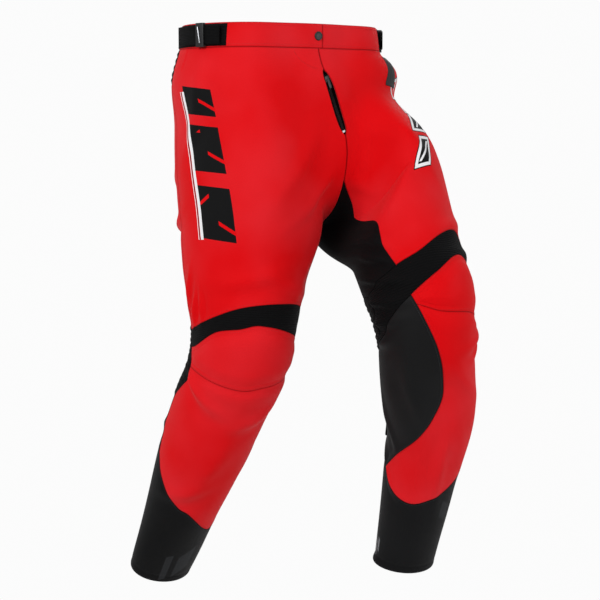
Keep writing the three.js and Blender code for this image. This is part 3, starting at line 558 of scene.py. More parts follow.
def roll(edge, radius):
    """How far the cloth turns in at its edge."""
    s = np.clip(1 - edge / radius, 0, 1)
    return -radius * (1 - np.sqrt(np.clip(1 - s * s, 0, 1)))


def corner_grid(edges, s, t):
    """Angle and depth over a panel between four edges, for shares s and t."""
    s, t = np.meshgrid(s, t)
    start = edges["top"](np.zeros(1))[0]
    across = edges["left"](start) * (1 - s) + edges["right"](start) * s
    depth = np.zeros_like(across)
    for _ in range(30):
        depth = edges["top"](across) * (1 - t) + edges["bottom"](across) * t
        across = edges["left"](depth) * (1 - s) + edges["right"](depth) * s
    return across, depth


near_edge = 4         # grid line that lies 4.4 mm inside a panel's edge, where the stitches run
STITCH_LINES = {}     # (panel, edge) -> points and outward directions, in mm


def keep_stitch_lines(name, outer, inside, mirrored):
    """Remembers the grid lines a few mm inside the four edges of a piece of cloth."""
    across = np.gradient(outer, axis=1)
    down = np.gradient(outer, axis=0)
    out = np.cross(across, down) * (-1 if mirrored else 1)
    out = out / (np.linalg.norm(out, axis=-1, keepdims=True) + 1e-9)
    trim = slice(inside, -inside)
    picks = {
        "left": (trim, inside), "right": (trim, -inside - 1), "top": (inside, trim),
        "bottom": (-inside - 1, trim),
    }
    for edge, pick in picks.items():
        STITCH_LINES[(name, edge)] = (outer[pick], out[pick])


def panel(name, side, edges, material, thickness=cloth, cell=4.0, lift=None, free=(), outside=0.0):
    """A cloth panel that follows the form between four edges, with rolled edges at its seams."""
    across, depth = corner_grid(edges, np.linspace(0, 1, 9), np.linspace(0, 1, 9))
    rough = place(side, across, depth)
    wide = lengths_along(rough, 1)[:, -1].max()
    long = lengths_along(rough, 0)[-1].max()
    across, depth = corner_grid(edges, spread(wide, cell), spread(long, cell))
    flat = place(side, across, depth)
    edge = edge_distance(flat)
    height = drape(side, across, depth) + roll(edge, 1.4) + outside
    if lift is not None:
        height = height + lift(across, depth, edge)
    calm = smooth(0, 16, edge)
    settle = drape(side, across, depth)
    height = height - settle * (1 - calm) * 0.35
    outer = place(side, across, depth, height)
    inner = place(side, across, depth, np.minimum(height, outside) * 0.5 + height * 0.5 - thickness)
    u = lengths_along(flat, 1)
    u = u - u[:, u.shape[1] // 2][:, None]
    weave = np.stack([u / 100, -depth / 100], -1)
    form = np.stack([across, depth, np.full_like(across, side)], -1)
    full = f"{name}_{SIDE_NAME[side]}"
    obj = sheet_object(f"{full}_cloth", outer, inner, weave, form, edge, material, side > 0)
    keep_stitch_lines(full, outer, near_edge, side > 0)
    return obj


# ---------------------------------------------------------------- shader helpers
def new_material(name):
    mat = bpy.data.materials.new(name)
    mat.use_nodes = True
    tree = mat.node_tree
    return mat, tree, tree.nodes["Principled BSDF"]


def node(tree, kind, **settings):
    made = tree.nodes.new(kind)
    for key, value in settings.items():
        setattr(made, key, value)
    return made


def wire(tree, source, target):
    if isinstance(source, (int, float)):
        target.default_value = source
    elif isinstance(source, tuple):
        target.default_value = source
    else:
        tree.links.new(source, target)


def maths(tree, operation, *inputs, clamp=False):
    made = node(tree, "ShaderNodeMath", operation=operation, use_clamp=clamp)
    for socket, value in zip(made.inputs, inputs):
        wire(tree, value, socket)
    return made.outputs[0]


def mixed(tree, share, first, second):
    made = node(tree, "ShaderNodeMix", data_type="RGBA")
    wire(tree, share, made.inputs["Factor"])
    wire(tree, first, made.inputs[6])
    wire(tree, second, made.inputs[7])
    return made.outputs[2]


def linear(r, g, b):
    """An sRGB colour in 0 to 255 as linear light."""
    def one(c):
        c = c / 255
        return c / 12.92 if c <= 0.04045 else ((c + 0.055) / 1.055) ** 2.4
    return (one(r), one(g), one(b), 1.0)


def group(name, inputs, outputs):
    tree = bpy.data.node_groups.new(name, "ShaderNodeTree")
    for label, kind, value in inputs:
        socket = tree.interface.new_socket(name=label, in_out="INPUT", socket_type=kind)
        if value is not None:
            socket.default_value = value
    for label, kind in outputs:
        tree.interface.new_socket(name=label, in_out="OUTPUT", socket_type=kind)
    return tree, tree.nodes.new("NodeGroupInput"), tree.nodes.new("NodeGroupOutput")


def use(tree, group_tree, **inputs):
    made = node(tree, "ShaderNodeGroup", node_tree=group_tree)
    for key, value in inputs.items():
        wire(tree, value, made.inputs[key.replace("_", " ")])
    return made


FLOAT = "NodeSocketFloat"
VECTOR = "NodeSocketVector"


def make_weave_group():
    """Over and under threads on the cloth's own coordinates, with a slubby unevenness."""
    tree, gin, gout = group(
        "Woven threads",
        [("Vector", VECTOR, None), ("Threads", FLOAT, 120.0), ("Slub", FLOAT, 0.3)],
        [("Height", FLOAT), ("Slubs", FLOAT)],
    )
    split = node(tree, "ShaderNodeSeparateXYZ")
    wire(tree, gin.outputs["Vector"], split.inputs[0])
    u = maths(tree, "MULTIPLY", split.outputs[0], gin.outputs["Threads"])
    v = maths(tree, "MULTIPLY", split.outputs[1], gin.outputs["Threads"])
    warp = maths(tree, "SINE", maths(tree, "MULTIPLY", u, 2 * math.pi))
    weft = maths(tree, "SINE", maths(tree, "MULTIPLY", v, 2 * math.pi))
    cross = maths(tree, "MULTIPLY", warp, weft)
    noise = node(tree, "ShaderNodeTexNoise")
    wire(tree, gin.outputs["Vector"], noise.inputs["Vector"])
    noise.inputs["Scale"].default_value = 60
    noise.inputs["Detail"].default_value = 3
    height = maths(tree, "ADD", maths(tree, "MULTIPLY", cross, 0.5),
                   maths(tree, "MULTIPLY", noise.outputs["Fac"], gin.outputs["Slub"]))
    wire(tree, height, gout.inputs["Height"])
    wire(tree, noise.outputs["Fac"], gout.inputs["Slubs"])
    return tree


def make_block_group():
    """A slanted block printed on a leg: 1 inside it. Centre and half sizes in degrees and mm."""
    tree, gin, gout = group(
        "Printed block",
        [("Form", VECTOR, None), ("Across", FLOAT, 0.0), ("Depth", FLOAT, 0.0), ("Half width", FLOAT, 10.0),
         ("Half height", FLOAT, 10.0), ("Slant", FLOAT, 0.0), ("Lean", FLOAT, 0.0)],
        [("Inside", FLOAT)],
    )
    split = node(tree, "ShaderNodeSeparateXYZ")
    wire(tree, gin.outputs["Form"], split.inputs[0])
    a = maths(tree, "SUBTRACT", split.outputs[0], gin.outputs["Across"])
    d = maths(tree, "SUBTRACT", split.outputs[1], gin.outputs["Depth"])
    a2 = maths(tree, "SUBTRACT", a, maths(tree, "MULTIPLY", d, gin.outputs["Lean"]))
    d2 = maths(tree, "SUBTRACT", d, maths(tree, "MULTIPLY", a, gin.outputs["Slant"]))
    wide = maths(tree, "LESS_THAN", maths(tree, "ABSOLUTE", a2), gin.outputs["Half width"])
    high = maths(tree, "LESS_THAN", maths(tree, "ABSOLUTE", d2), gin.outputs["Half height"])
    wire(tree, maths(tree, "MULTIPLY", wide, high), gout.inputs["Inside"])
    return tree


def make_wear_group():
    """Pale clouds over a piece, which are painted sheen on the red cloths, rubbed patches on the leather
    and uneven tone on the rest, and a darker line along its seams.
    """
    tree, gin, gout = group(
        "Wear and painted sheen",
        [("Vector", VECTOR, None), ("Edge", FLOAT, 10.0), ("Amount", FLOAT, 0.5)],
        [("Cloud", FLOAT), ("Seam", FLOAT)],
    )
    noise = node(tree, "ShaderNodeTexNoise")
    wire(tree, gin.outputs["Vector"], noise.inputs["Vector"])
    noise.inputs["Scale"].default_value = 5.0
    noise.inputs["Detail"].default_value = 2.5
    noise.inputs["Roughness"].default_value = 0.5
    cloud = maths(tree, "MULTIPLY", maths(tree, "SUBTRACT", noise.outputs["Fac"], 0.42), 2.4, clamp=True)
    wire(tree, maths(tree, "MULTIPLY", cloud, gin.outputs["Amount"]), gout.inputs["Cloud"])
    seam = maths(tree, "SUBTRACT", 1.0, maths(tree, "DIVIDE", gin.outputs["Edge"], 2.4), clamp=True)
    wire(tree, seam, gout.inputs["Seam"])
    return tree


WOVEN = make_weave_group()
BLOCK = make_block_group()
WEAR_AND_SHEEN = make_wear_group()


def attribute(tree, name, output):
    made = node(tree, "ShaderNodeAttribute", attribute_name=name)
    return made.outputs[output]


def object_coordinates(tree):
    return node(tree, "ShaderNodeTexCoord").outputs["Object"]


def bump(tree, height, distance, strength=1.0, under=None):
    made = node(tree, "ShaderNodeBump")
    made.inputs["Strength"].default_value = strength
    made.inputs["Distance"].default_value = distance
    wire(tree, height, made.inputs["Height"])
    if under is not None:
        wire(tree, under, made.inputs["Normal"])
    return made.outputs[0]


def cloth_material(name, deep, pale, seam_dark, roughness, sheen, threads=90.0, prints=None,
                   weave_depth=0.00012,
                   ribs=None, cloud=0.6):
    """A woven or knitted cloth: colour clouds (painted sheen on the red cloths), thread bump, darker seams
    and any printed shapes.
    """
    mat, tree, shader = new_material(name)
    uv = node(tree, "ShaderNodeUVMap", uv_map="weave").outputs[0]
    weave = use(tree, WOVEN, Vector=uv, Threads=threads, Slub=0.35)
    wear_and_sheen = use(tree, WEAR_AND_SHEEN, Vector=object_coordinates(tree), Edge=attribute(tree, "edge", "Fac"),
               Amount=cloud)
    # Pale clouds over the deep colour: on the red cloths they are painted sheen, patches of painted
    # highlight; on the darker cloths they are uneven tone.
    colour = mixed(tree, wear_and_sheen.outputs["Cloud"], deep, pale)
    flecks = maths(tree, "MULTIPLY", maths(tree, "SUBTRACT", weave.outputs["Slubs"], 0.35), 0.4, clamp=True)
    colour = mixed(tree, flecks, colour, seam_dark)
    if prints is not None:
        colour = prints(tree, colour)
    colour = mixed(tree, maths(tree, "MULTIPLY", wear_and_sheen.outputs["Seam"], 0.6), colour, seam_dark)
    wire(tree, colour, shader.inputs["Base Color"])
    rough = maths(tree, "ADD", maths(tree, "MULTIPLY", weave.outputs["Slubs"], 0.16), roughness - 0.08)
    wire(tree, rough, shader.inputs["Roughness"])
    height = bump(tree, weave.outputs["Height"], weave_depth)
    if ribs is not None:
        split = node(tree, "ShaderNodeSeparateXYZ")
        wire(tree, uv, split.inputs[0])
        wave = maths(tree, "SINE", maths(tree, "MULTIPLY", split.outputs[1], 2 * math.pi * 100 / ribs))
        height = bump(tree, wave, 0.0004, under=height)
    wire(tree, height, shader.inputs["Normal"])
    shader.inputs["Sheen Weight"].default_value = sheen
    shader.inputs["Sheen Roughness"].default_value = 0.45
    shader.inputs["Specular IOR Level"].default_value = 0.07
    return mat


def hard_material(name, base, wear_colour, roughness, metallic=0.0, grain=0.00005, scale=900.0, coat=0.0):
    """Moulded plastic, rubber or plated metal with a fine grain and worn patches."""
    mat, tree, shader = new_material(name)
    where = object_coordinates(tree)
    noise = node(tree, "ShaderNodeTexNoise")
    wire(tree, where, noise.inputs["Vector"])
    noise.inputs["Scale"].default_value = scale
    noise.inputs["Detail"].default_value = 4
    patches = node(tree, "ShaderNodeTexNoise")
    wire(tree, where, patches.inputs["Vector"])
    patches.inputs["Scale"].default_value = 70
    patches.inputs["Detail"].default_value = 5
    worn_share = maths(tree, "MULTIPLY", maths(tree, "SUBTRACT", patches.outputs["Fac"], 0.5), 2.2,
                       clamp=True)
    wire(tree, mixed(tree, worn_share, base, wear_colour), shader.inputs["Base Color"])
    rough = maths(tree, "ADD", maths(tree, "MULTIPLY", patches.outputs["Fac"], 0.25), roughness - 0.12)
    wire(tree, rough, shader.inputs["Roughness"])
    wire(tree, bump(tree, noise.outputs["Fac"], grain), shader.inputs["Normal"])
    shader.inputs["Metallic"].default_value = metallic
    shader.inputs["Coat Weight"].default_value = coat
    return mat


def leather_material(name, deep, pale):
    """Smooth leather with a pebbled grain and rubbed patches."""
    mat, tree, shader = new_material(name)
    where = object_coordinates(tree)
    cells = node(tree, "ShaderNodeTexVoronoi", feature="DISTANCE_TO_EDGE")
    wire(tree, where, cells.inputs["Vector"])
    cells.inputs["Scale"].default_value = 520
    wear_and_sheen = use(tree, WEAR_AND_SHEEN, Vector=where, Edge=attribute(tree, "edge", "Fac"), Amount=0.9)
    wire(tree, mixed(tree, wear_and_sheen.outputs["Cloud"], deep, pale), shader.inputs["Base Color"])
    rough = maths(tree, "SUBTRACT", 0.58, maths(tree, "MULTIPLY", wear_and_sheen.outputs["Cloud"], 0.16))
    wire(tree, rough, shader.inputs["Roughness"])
    height = maths(tree, "MINIMUM", cells.outputs["Distance"], 0.12)
    wire(tree, bump(tree, height, 0.0012, 0.5), shader.inputs["Normal"])
    shader.inputs["Specular IOR Level"].default_value = 0.14
    return mat


# ---------------------------------------------------------------- printed shapes
PRINT_BLACK = linear(14, 14, 15)
PRINT_WHITE = linear(238, 238, 240)
PRINT_GREY = linear(120, 122, 126)


def block(tree, form, across, depth, half_width, half_height, slant=0.0, lean=0.0):
    """1 inside a slanted block of the form's own coordinates, 0 outside it."""
    made = use(tree, BLOCK, Form=form, Across=across, Depth=depth, Half_width=half_width,
               Half_height=half_height, Slant=slant, Lean=lean)
    return made.outputs["Inside"]


def thigh_prints(side):
    """Generic slanted bars and a pinstripe on the outer thigh, not any mark."""
    def draw(tree, colour):
        form = attribute(tree, "form", "Vector")
        if side == RIGHT:
            lean = -0.05
            depth = fly_top + 56
            for count, half in enumerate((24, 13, 34, 17, 27)):
                centre = 62 + lean * (depth - 240)
                colour = mixed(tree, block(tree, form, centre, depth, 17.5, half, -0.22, lean), colour,
                               PRINT_BLACK)
                edge_side = 1 if count % 2 else -1
                notch = block(tree, form, centre + 11 * edge_side, depth + 0.3 * half, 7.5, 3.2,
                              1.1 * edge_side, lean)
                colour = mixed(tree, notch, colour, RED)
                depth += 2 * half + 8
            middle = 240
            for offset, half_width, ink in ((0, 1.9, PRINT_WHITE), (3.0, 0.5, PRINT_BLACK),
                                            (4.6, 0.45, PRINT_WHITE)):
                at = 80.0 + offset
                stripe = block(tree, form, at, middle, half_width, 126, 0.0, lean)
                colour = mixed(tree, stripe, colour, ink)
        else:
            shapes = ((36, 124, 22, 9, RED), (30, 182, 24, 8, RED), (22, 244, 24, 8, PRINT_BLACK),
                      (15.5, 312, 25, 6, PRINT_BLACK))
            for at, depth, half_height, half_width, ink in shapes:
                for grow, paint in ((1.8, PRINT_BLACK), (1.0, PRINT_WHITE), (-1.4, ink)):
                    shape = block(tree, form, at, depth, half_width + grow, half_height + 2.4 * grow,
                                  -0.5, -0.16)
                    colour = mixed(tree, shape, colour, paint)
                if ink == PRINT_BLACK:
                    slash = block(tree, form, at, depth, 1.0, half_height - 7, -0.5, -0.3)
                    colour = mixed(tree, slash, colour, PRINT_WHITE)
        return colour
    return draw


def cuff_prints(side):
    """Plain slanted bars round the ankle."""
    def draw(tree, colour):
        form = attribute(tree, "form", "Vector")
        shapes = [(-10, 976, 16, 26, 0.8, PRINT_SMOKE), (26, 990, 7, 30, 0.4, PRINT_SMOKE)]
        if side == LEFT:
            shapes = [(-96, 996, 5, 14, 0.9, PRINT_GREY), (-84, 990, 3, 12, 0.9, PRINT_GREY),
                      (40, 900, 9, 16, 0.6, PRINT_SMOKE)]
        for at, depth, half_width, half_height, slant, ink in shapes:
            colour = mixed(tree, block(tree, form, at, depth, half_width, half_height, slant), colour, ink)
        return colour
    return draw


RED = linear(222, 0, 8)
# The pale red that the clouds lay on the red cloths is painted sheen: patches of painted highlight.
RED_PAINTED_SHEEN = linear(238, 62, 72)
RED_DARK = linear(150, 0, 6)
BLACK = linear(8, 8, 9)
BLACK_PALE = linear(17, 17, 18)
BLACK_DARK = linear(4, 4, 5)
CHARCOAL = linear(15, 15, 16)
CHARCOAL_PALE = linear(27, 27, 29)
PRINT_SMOKE = linear(38, 39, 41)

red_cloth = cloth_material("Red polyester", RED, RED_PAINTED_SHEEN, RED_DARK, 0.62, 0.05)
thigh_cloth = {side: cloth_material(f"Red printed polyester {SIDE_NAME[side]}", RED, RED_PAINTED_SHEEN, RED_DARK,
                                    0.62, 0.05,
                                    prints=thigh_prints(side)) for side in (RIGHT, LEFT)}
band_red = cloth_material("Red waistband tape", RED, RED_PAINTED_SHEEN, RED_DARK, 0.6, 0.05, threads=70,
                          weave_depth=0.0002)
black_stretch = cloth_material("Black stretch knit", BLACK, BLACK_PALE, BLACK_DARK, 0.72, 0.02, threads=110)
ribbed_stretch = cloth_material("Black ribbed stretch", BLACK, BLACK_PALE, BLACK_DARK, 0.74, 0.02,
                                threads=110, ribs=3.2)
webbing = cloth_material("Black webbing", BLACK, BLACK_PALE, BLACK_DARK, 0.66, 0.02, threads=42,
                         weave_depth=0.0005,
                         ribs=2.4)
# Both cuffs are one satin, drawn lighter in charcoal on the left and darker in black on the right: painted
# light and painted shade on the same cloth.
cuff_cloth = {side: cloth_material(f"Charcoal cuff satin {SIDE_NAME[side]}",
                                   CHARCOAL if side == LEFT else BLACK,
                                   CHARCOAL_PALE if side == LEFT else BLACK_PALE, BLACK_DARK, 0.5, 0.03,
                                   prints=cuff_prints(side)) for side in (RIGHT, LEFT)}
calf_leather = leather_material("Charcoal calf leather", CHARCOAL, CHARCOAL_PALE)
pad_cover = cloth_material("Grey pad cover", linear(58, 59, 62), linear(76, 77, 80), linear(36, 36, 38),
                           0.8, 0.1,
                           threads=60, weave_depth=0.0003)
black_plastic = hard_material("Black moulded plastic", linear(20, 20, 21), linear(34, 34, 36), 0.45)
grip_rubber = hard_material("Black grip rubber", linear(22, 22, 23), linear(44, 44, 46), 0.6,
                            grain=0.0002, scale=500)
zip_cloth = cloth_material("Black zip tape", BLACK, BLACK_PALE, BLACK_DARK, 0.7, 0.05, threads=80,
                           weave_depth=0.0002)
red_thread = hard_material("Red thread", linear(186, 0, 8), linear(216, 20, 26), 0.55, grain=0.0001,
                           scale=2500)
grey_thread = hard_material("Charcoal thread", linear(34, 34, 36), linear(52, 52, 55), 0.55,
                            grain=0.0001, scale=2500)
plain_metal = hard_material("Plated metal", linear(168, 170, 174), linear(120, 118, 114), 0.32,
                            metallic=1.0)


def declare(obj, node_name, body):
    """Lets a sheet ride on its body and stand for its CAD node."""
    if body is not None:
        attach(obj, body)
    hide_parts(node_name)


def shin(side):
    return f"shin_{SIDE_NAME[side]}"


fly_curve_width = 44


def fly_crease(across, depth, edge):
    """The curved stitched edge of the fly's lap, above the zip."""
    share = np.clip((depth - band_height) / (fly_top - band_height), 0, 1)
    aside = fly_curve_width * np.sqrt(np.clip(1 - share * share, 0, 1))
    reach = leg_aside(depth) / np.tan(np.radians(np.clip(-front_seam(depth), 1, 89.5)))
    here = leg_aside(depth) + reach * np.tan(np.radians(across))
    inside = (depth < fly_top) * smooth(2.2, -0.2, here - aside)
    return 0.9 * inside


def seam_pucker(across, depth, edge):
    """The fine waves of the cloth beside a sewn edge, in mm."""
    return 0.15 * np.sin(np.radians(across) * 12.0 + depth / 1.6) * bell(edge - 4, 4)


def add_thigh(side):
    """The front thigh, the seat, the ribbed yoke and the stretch inner thigh of one leg."""
    name = SIDE_NAME[side]

    def front_lift(across, depth, edge):
        lift = seam_pucker(across, depth, edge)
        if side == RIGHT:
            lift = lift + fly_crease(across, depth, edge)
        return lift

    front = panel("thigh_front", side, {
        "left": lambda depth: front_edge(side, depth), "right": level(side_seam),
        "top": level(band_height), "bottom": band_top[side],
    }, thigh_cloth[side], cell=4.2, lift=front_lift)
    declare(front, f"thigh_front_{name}", "pants")
    seat = panel("seat_panel", side, {
        "left": level(side_seam),
        "right": lambda depth: np.minimum(back_seam(depth), gusset_back(depth) + 360),
        "top": level(yoke_bottom), "bottom": hollow_top[side],
    }, red_cloth, cell=5.0)
    declare(seat, f"seat_panel_{name}", "pants")

    def yoke_lift(across, depth, edge):
        return 1.5 * np.abs(np.sin((depth - band_height) * math.pi / 11.6)) * smooth(1, 8, edge)

    yoke = panel("yoke", side, {
        "left": level(side_seam), "right": back_seam, "top": level(band_height),
        "bottom": level(yoke_bottom),
    }, ribbed_stretch, thickness=stretch_cloth, cell=2.6, lift=yoke_lift)
    declare(yoke, f"yoke_{name}", "pants")
    inner = panel("inner_thigh", side, {
        "left": gusset_back, "right": gusset_front[side],
        "top": lambda a: np.where(a < -90, seam_depth(a), np.maximum(seam_depth(a), gusset_top)),
        "bottom": lambda a: np.where(a < -90, hollow_top[side](a + 360), band_top[side](a)),
    }, black_stretch, thickness=stretch_cloth, cell=4.2)
    declare(inner, f"inner_thigh_{name}", "pants")


def add_knee(side):
    """The stretch band, the padded cup and the stretch panel behind one knee."""
    name = SIDE_NAME[side]
    band = panel("knee_band", side, {
        "left": level(-90), "right": outer_edge, "top": band_top[side], "bottom": band_bottom[side],
    }, ribbed_stretch, thickness=stretch_cloth, cell=3.0, lift=lambda a, d, e: 0.7 * smooth(0, 12, e))
    replace_blend(band, f"knee_band_{name}", side)

    def cup_lift(across, depth, edge):
        puff = 4.6 * smooth(0, 30, edge)
        piping = -0.8 * bell(edge - 8.5, 1.3)
        return puff + piping

    cup = panel("knee_cup", side, {
        "left": leather_front[side], "right": outer_edge, "top": band_bottom[side], "bottom": crease[side],
    }, red_cloth, cell=2.8, lift=cup_lift)
    declare(cup, f"knee_cup_{name}", shin(side))

    def shin_lift(across, depth, edge):
        under = depth - crease[side](across)
        return 2.2 * bell(under - 13, 12) * smooth(2, 14, edge)

    lower = panel("shin_panel", side, {
        "left": leather_front[side], "right": outer_edge, "top": crease[side], "bottom": cuff_top[side],
    }, red_cloth, cell=3.8, lift=shin_lift)
    declare(lower, f"shin_panel_{name}", shin(side))

    def hollow_lift(across, depth, edge):
        return 1.6 * np.abs(np.sin((depth - knee) * math.pi / 12.5)) * smooth(1, 9, edge)

    hollow = panel("knee_back", side, {
        "left": outer_edge, "right": level(270), "top": hollow_top[side], "bottom": hollow_bottom[side],
    }, ribbed_stretch, thickness=stretch_cloth, cell=3.0, lift=hollow_lift)
    replace_blend(hollow, f"knee_back_{name}", side)


def replace_blend(obj, node_name, side):
    """Cloth across the knee: hides its CAD node and bakes its placement into its mesh. It rides on no body,
    so it does not follow the thigh or the shin.
    """
    points = np.array([v.co for v in obj.data.vertices])
    top = place(side, 90.0, knee - 60.0) * MM
    inner_top = place(side, -90.0, knee - 60.0) * MM
    low = place(side, 90.0, knee + 50.0) * MM
    inner_low = place(side, -90.0, knee + 50.0) * MM
    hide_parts(node_name)
    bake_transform(obj)


def add_lower_leg(side):
    """The shin, the leather inner calf, the back calf and the cuff."""
    name = SIDE_NAME[side]
    inner = panel("calf_leather", side, {
        "left": level(calf_seam), "right": leather_front[side],
        "top": lambda a: np.where(a < -90, hollow_bottom[side](a + 360), band_bottom[side](a)),
        "bottom": cuff_top[side],
    }, calf_leather, thickness=leather, cell=4.0)
    declare(inner, f"calf_leather_{name}", shin(side))
    back = panel("calf_back", side, {
        "left": outer_edge, "right": level(calf_seam + 360), "top": hollow_bottom[side],
        "bottom": lambda a: cuff_top[side](np.where(a > 180, a - 360, a)),
    }, black_stretch, thickness=stretch_cloth, cell=4.4)
    declare(back, f"calf_back_{name}", shin(side))
    cuff = panel("cuff", side, {
        "left": level(-180), "right": level(180), "top": cuff_top[side], "bottom": level(hem),
    }, cuff_cloth[side], cell=4.0, lift=lambda a, d, e: -0.7 * bell(hem - d - 14, 1.6))
    declare(cuff, f"cuff_{name}", shin(side))


# ---------------------------------------------------------------- waistband and adjusters
hip_end = 98
fly_lap = 4


def band(name, start, end, top, bottom, outside, thickness, material, lift=None, cell=2.6):
    """A band round the waist between two angles and two depths."""
    angles = start + (end - start) * spread(abs(end - start) * 2.6, cell)
    depths = top + (bottom - top) * np.linspace(0, 1, 17)
    angle, depth = np.meshgrid(angles, depths)
    flat = waist_place(angle, depth)
    edge = edge_distance(flat)
    height = outside + roll(edge, 1.2)
    if lift is not None:
        height = height + lift(angle, depth, edge)
    outer = waist_place(angle, depth, height)
    inner = waist_place(angle, depth, np.minimum(height, outside) - thickness)
    u = lengths_along(flat, 1)
    weave = np.stack([u / 100, -depth / 100], -1)
    form = np.stack([angle, depth, np.zeros_like(angle)], -1)
    keep_stitch_lines(name, outer, 2, True)
    return sheet_object(name, outer, inner, weave, form, edge, material, True)


def band_lift(angle, depth, edge):
    """Two rows of stitches pull the band in, and it fills slightly between them."""
    rows = -0.5 * bell(depth - 4.5, 1.2) - 0.5 * bell(depth - band_height + 4.5, 1.2)
    return (rows + 0.5 * np.sin(np.pi * depth / band_height)
            + 0.12 * np.sin(angle * 1.7) * bell(depth - 6, 5))


def gather_lift(angle, depth, edge):
    """The elastic behind gathers the back of the band."""
    share = smooth(hip_end + 4, hip_end + 14, angle) * smooth(356 - hip_end, 346 - hip_end, angle)
    waves = np.abs(np.sin(angle * 0.62 + 0.5 * np.sin(angle * 0.31))) * (0.8 + 0.2 * np.sin(depth / 5.0))
    return band_lift(angle, depth, edge) + 1.7 * share * waves * smooth(1, 6, edge)


def add_waistband():
    """The two front halves, the gathered back and the adjusters' anchor patches."""
    right = band("waistband_front_right_cloth", -hip_end, fly_lap, 0, band_height, 0, band_cloth,
                 band_red, band_lift)
    declare(right, "waistband_front_right", "pants")
    left = band("waistband_front_left_cloth", fly_lap, hip_end, 0, band_height, 0, band_cloth, band_red,
                band_lift)
    declare(left, "waistband_front_left", "pants")
    back = band("waistband_back_cloth", hip_end, 360 - hip_end, 0, band_height, 0, band_cloth, band_red,
                gather_lift)
    declare(back, "waistband_back", "pants")
    for side in (RIGHT, LEFT):
        start, end = (62, 116) if side > 0 else (-116, -62)
        base = band(f"adjuster_base_{SIDE_NAME[side]}_cloth", start, end, 2, band_height - 2, 1.6, 1.1,
                    webbing)
        declare(base, f"adjuster_base_{SIDE_NAME[side]}", "pants")


# ---------------------------------------------------------------- lining, zip and straps
zip_back = cloth + 2 + 1.6
tape_thickness = 0.9
clearance = 0.4


def add_band_lining():
    """The tab behind the snap, the elastic and the rubber grip strip inside the waistband."""
    inside = -band_cloth - 0.5
    parts = [
        ("snap_tab", -9, 13, 3, inside, cloth, band_red),
        ("waist_elastic", hip_end + 6, 354 - hip_end, 7, inside, 1.2, ribbed_stretch),
        ("waist_grip_strip", hip_end + 24, 336 - hip_end, 13, inside - 1.2 - clearance, 0.8, grip_rubber),
    ]
    for name, start, end, margin, outside, thickness, material in parts:
        piece = band(f"{name}_cloth", start, end, margin, band_height - margin, outside, thickness,
                     material)
        declare(piece, name, "pants")


def grid_sheet(name, spot, columns, rows, outside, thickness, material, mirrored=True):
    """A closed sheet from a function of two shares and a height."""
    s, t = np.meshgrid(np.linspace(0, 1, columns + 1), np.linspace(0, 1, rows + 1))
    flat = spot(s, t, outside)
    edge = edge_distance(flat)
    outer = spot(s, t, outside + roll(edge, 0.45))
    inner = spot(s, t, outside - thickness - roll(edge, 0.25))
    u, v = lengths_along(flat, 1), lengths_along(flat, 0)
    weave = np.stack([u / 100, -v / 100], -1)
    form = np.stack([s, t, np.zeros_like(s)], -1)
    return sheet_object(name, outer, inner, weave, form, edge, material, mirrored)


def add_fly_lining():
    """The shield behind the zip and the facing beside it."""
    def shield_spot(s, t, height):
        return fly_place(24 * (2 * s - 1), band_height + 0.8 + t * (fly_bottom + 12 - band_height), height)

    def facing_spot(s, t, height):
        return fly_place(-12.4 - 20 * (1 - s), band_height + 0.8 + t * (fly_bottom - band_height - 4),
                         height)

    shield = grid_sheet("fly_shield_cloth", shield_spot, 16, 50, -10.6, cloth, black_stretch)
    declare(shield, "fly_shield", "pants")
    facing = grid_sheet("fly_facing_cloth", facing_spot, 10, 50, -cloth - 2, cloth, red_cloth)
    declare(facing, "fly_facing", "pants")


def unit(v):
    return v / np.linalg.norm(v)


zip_top = fly_place(0.8, float(fly_top), -zip_back)
zip_end = fly_place(0.8, float(fly_bottom), -zip_back)
zip_up = unit(zip_top - zip_end)
zip_out = unit(np.cross([1.0, 0, 0], zip_up))
zip_across = unit(np.cross(zip_up, zip_out))
zip_middle = (zip_top + zip_end) / 2


def in_zip(x, y, z):
    """Points by the place across the zip, up it and out of it, in mm."""
    x, y, z = np.broadcast_arrays(np.asarray(x, float), y, z)
    return zip_middle + x[..., None] * zip_across + y[..., None] * zip_up + z[..., None] * zip_out


def add_zip():
    """Two woven tapes, and on each its row of moulded teeth."""
    half = zip_length / 2
    for side in (RIGHT, LEFT):
        name = SIDE_NAME[side]

        def tape_spot(s, t, height):
            x = 0.2 + 11 * s
            return in_zip(-x if side == RIGHT else x, (half + 1) * (1 - 2 * t), height)

        tape = grid_sheet(f"zip_tape_{name}_cloth", tape_spot, 10, 60, 0.05, tape_thickness, zip_cloth,
                          side > 0)
        declare(tape, f"zip_tape_{name}", "pants")
        run = in_zip(side * 1.35, np.linspace(half - 5, 5 - half, 40), 1.0)
        out = np.broadcast_to(zip_out, run.shape)
        teeth = along_lines(f"zip_teeth_{name}_row", [(run, out)], "tooth", 1.7, black_plastic)
        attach(teeth, "pants")
        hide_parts(f"zip_teeth_{name}")


strap_from, strap_to, loop_angle = 65, 100, 77
strap_height, strap_thickness = 31, 1.8
strap_back = 0.5 + 1.1 + clearance + 1.2 + 0.8


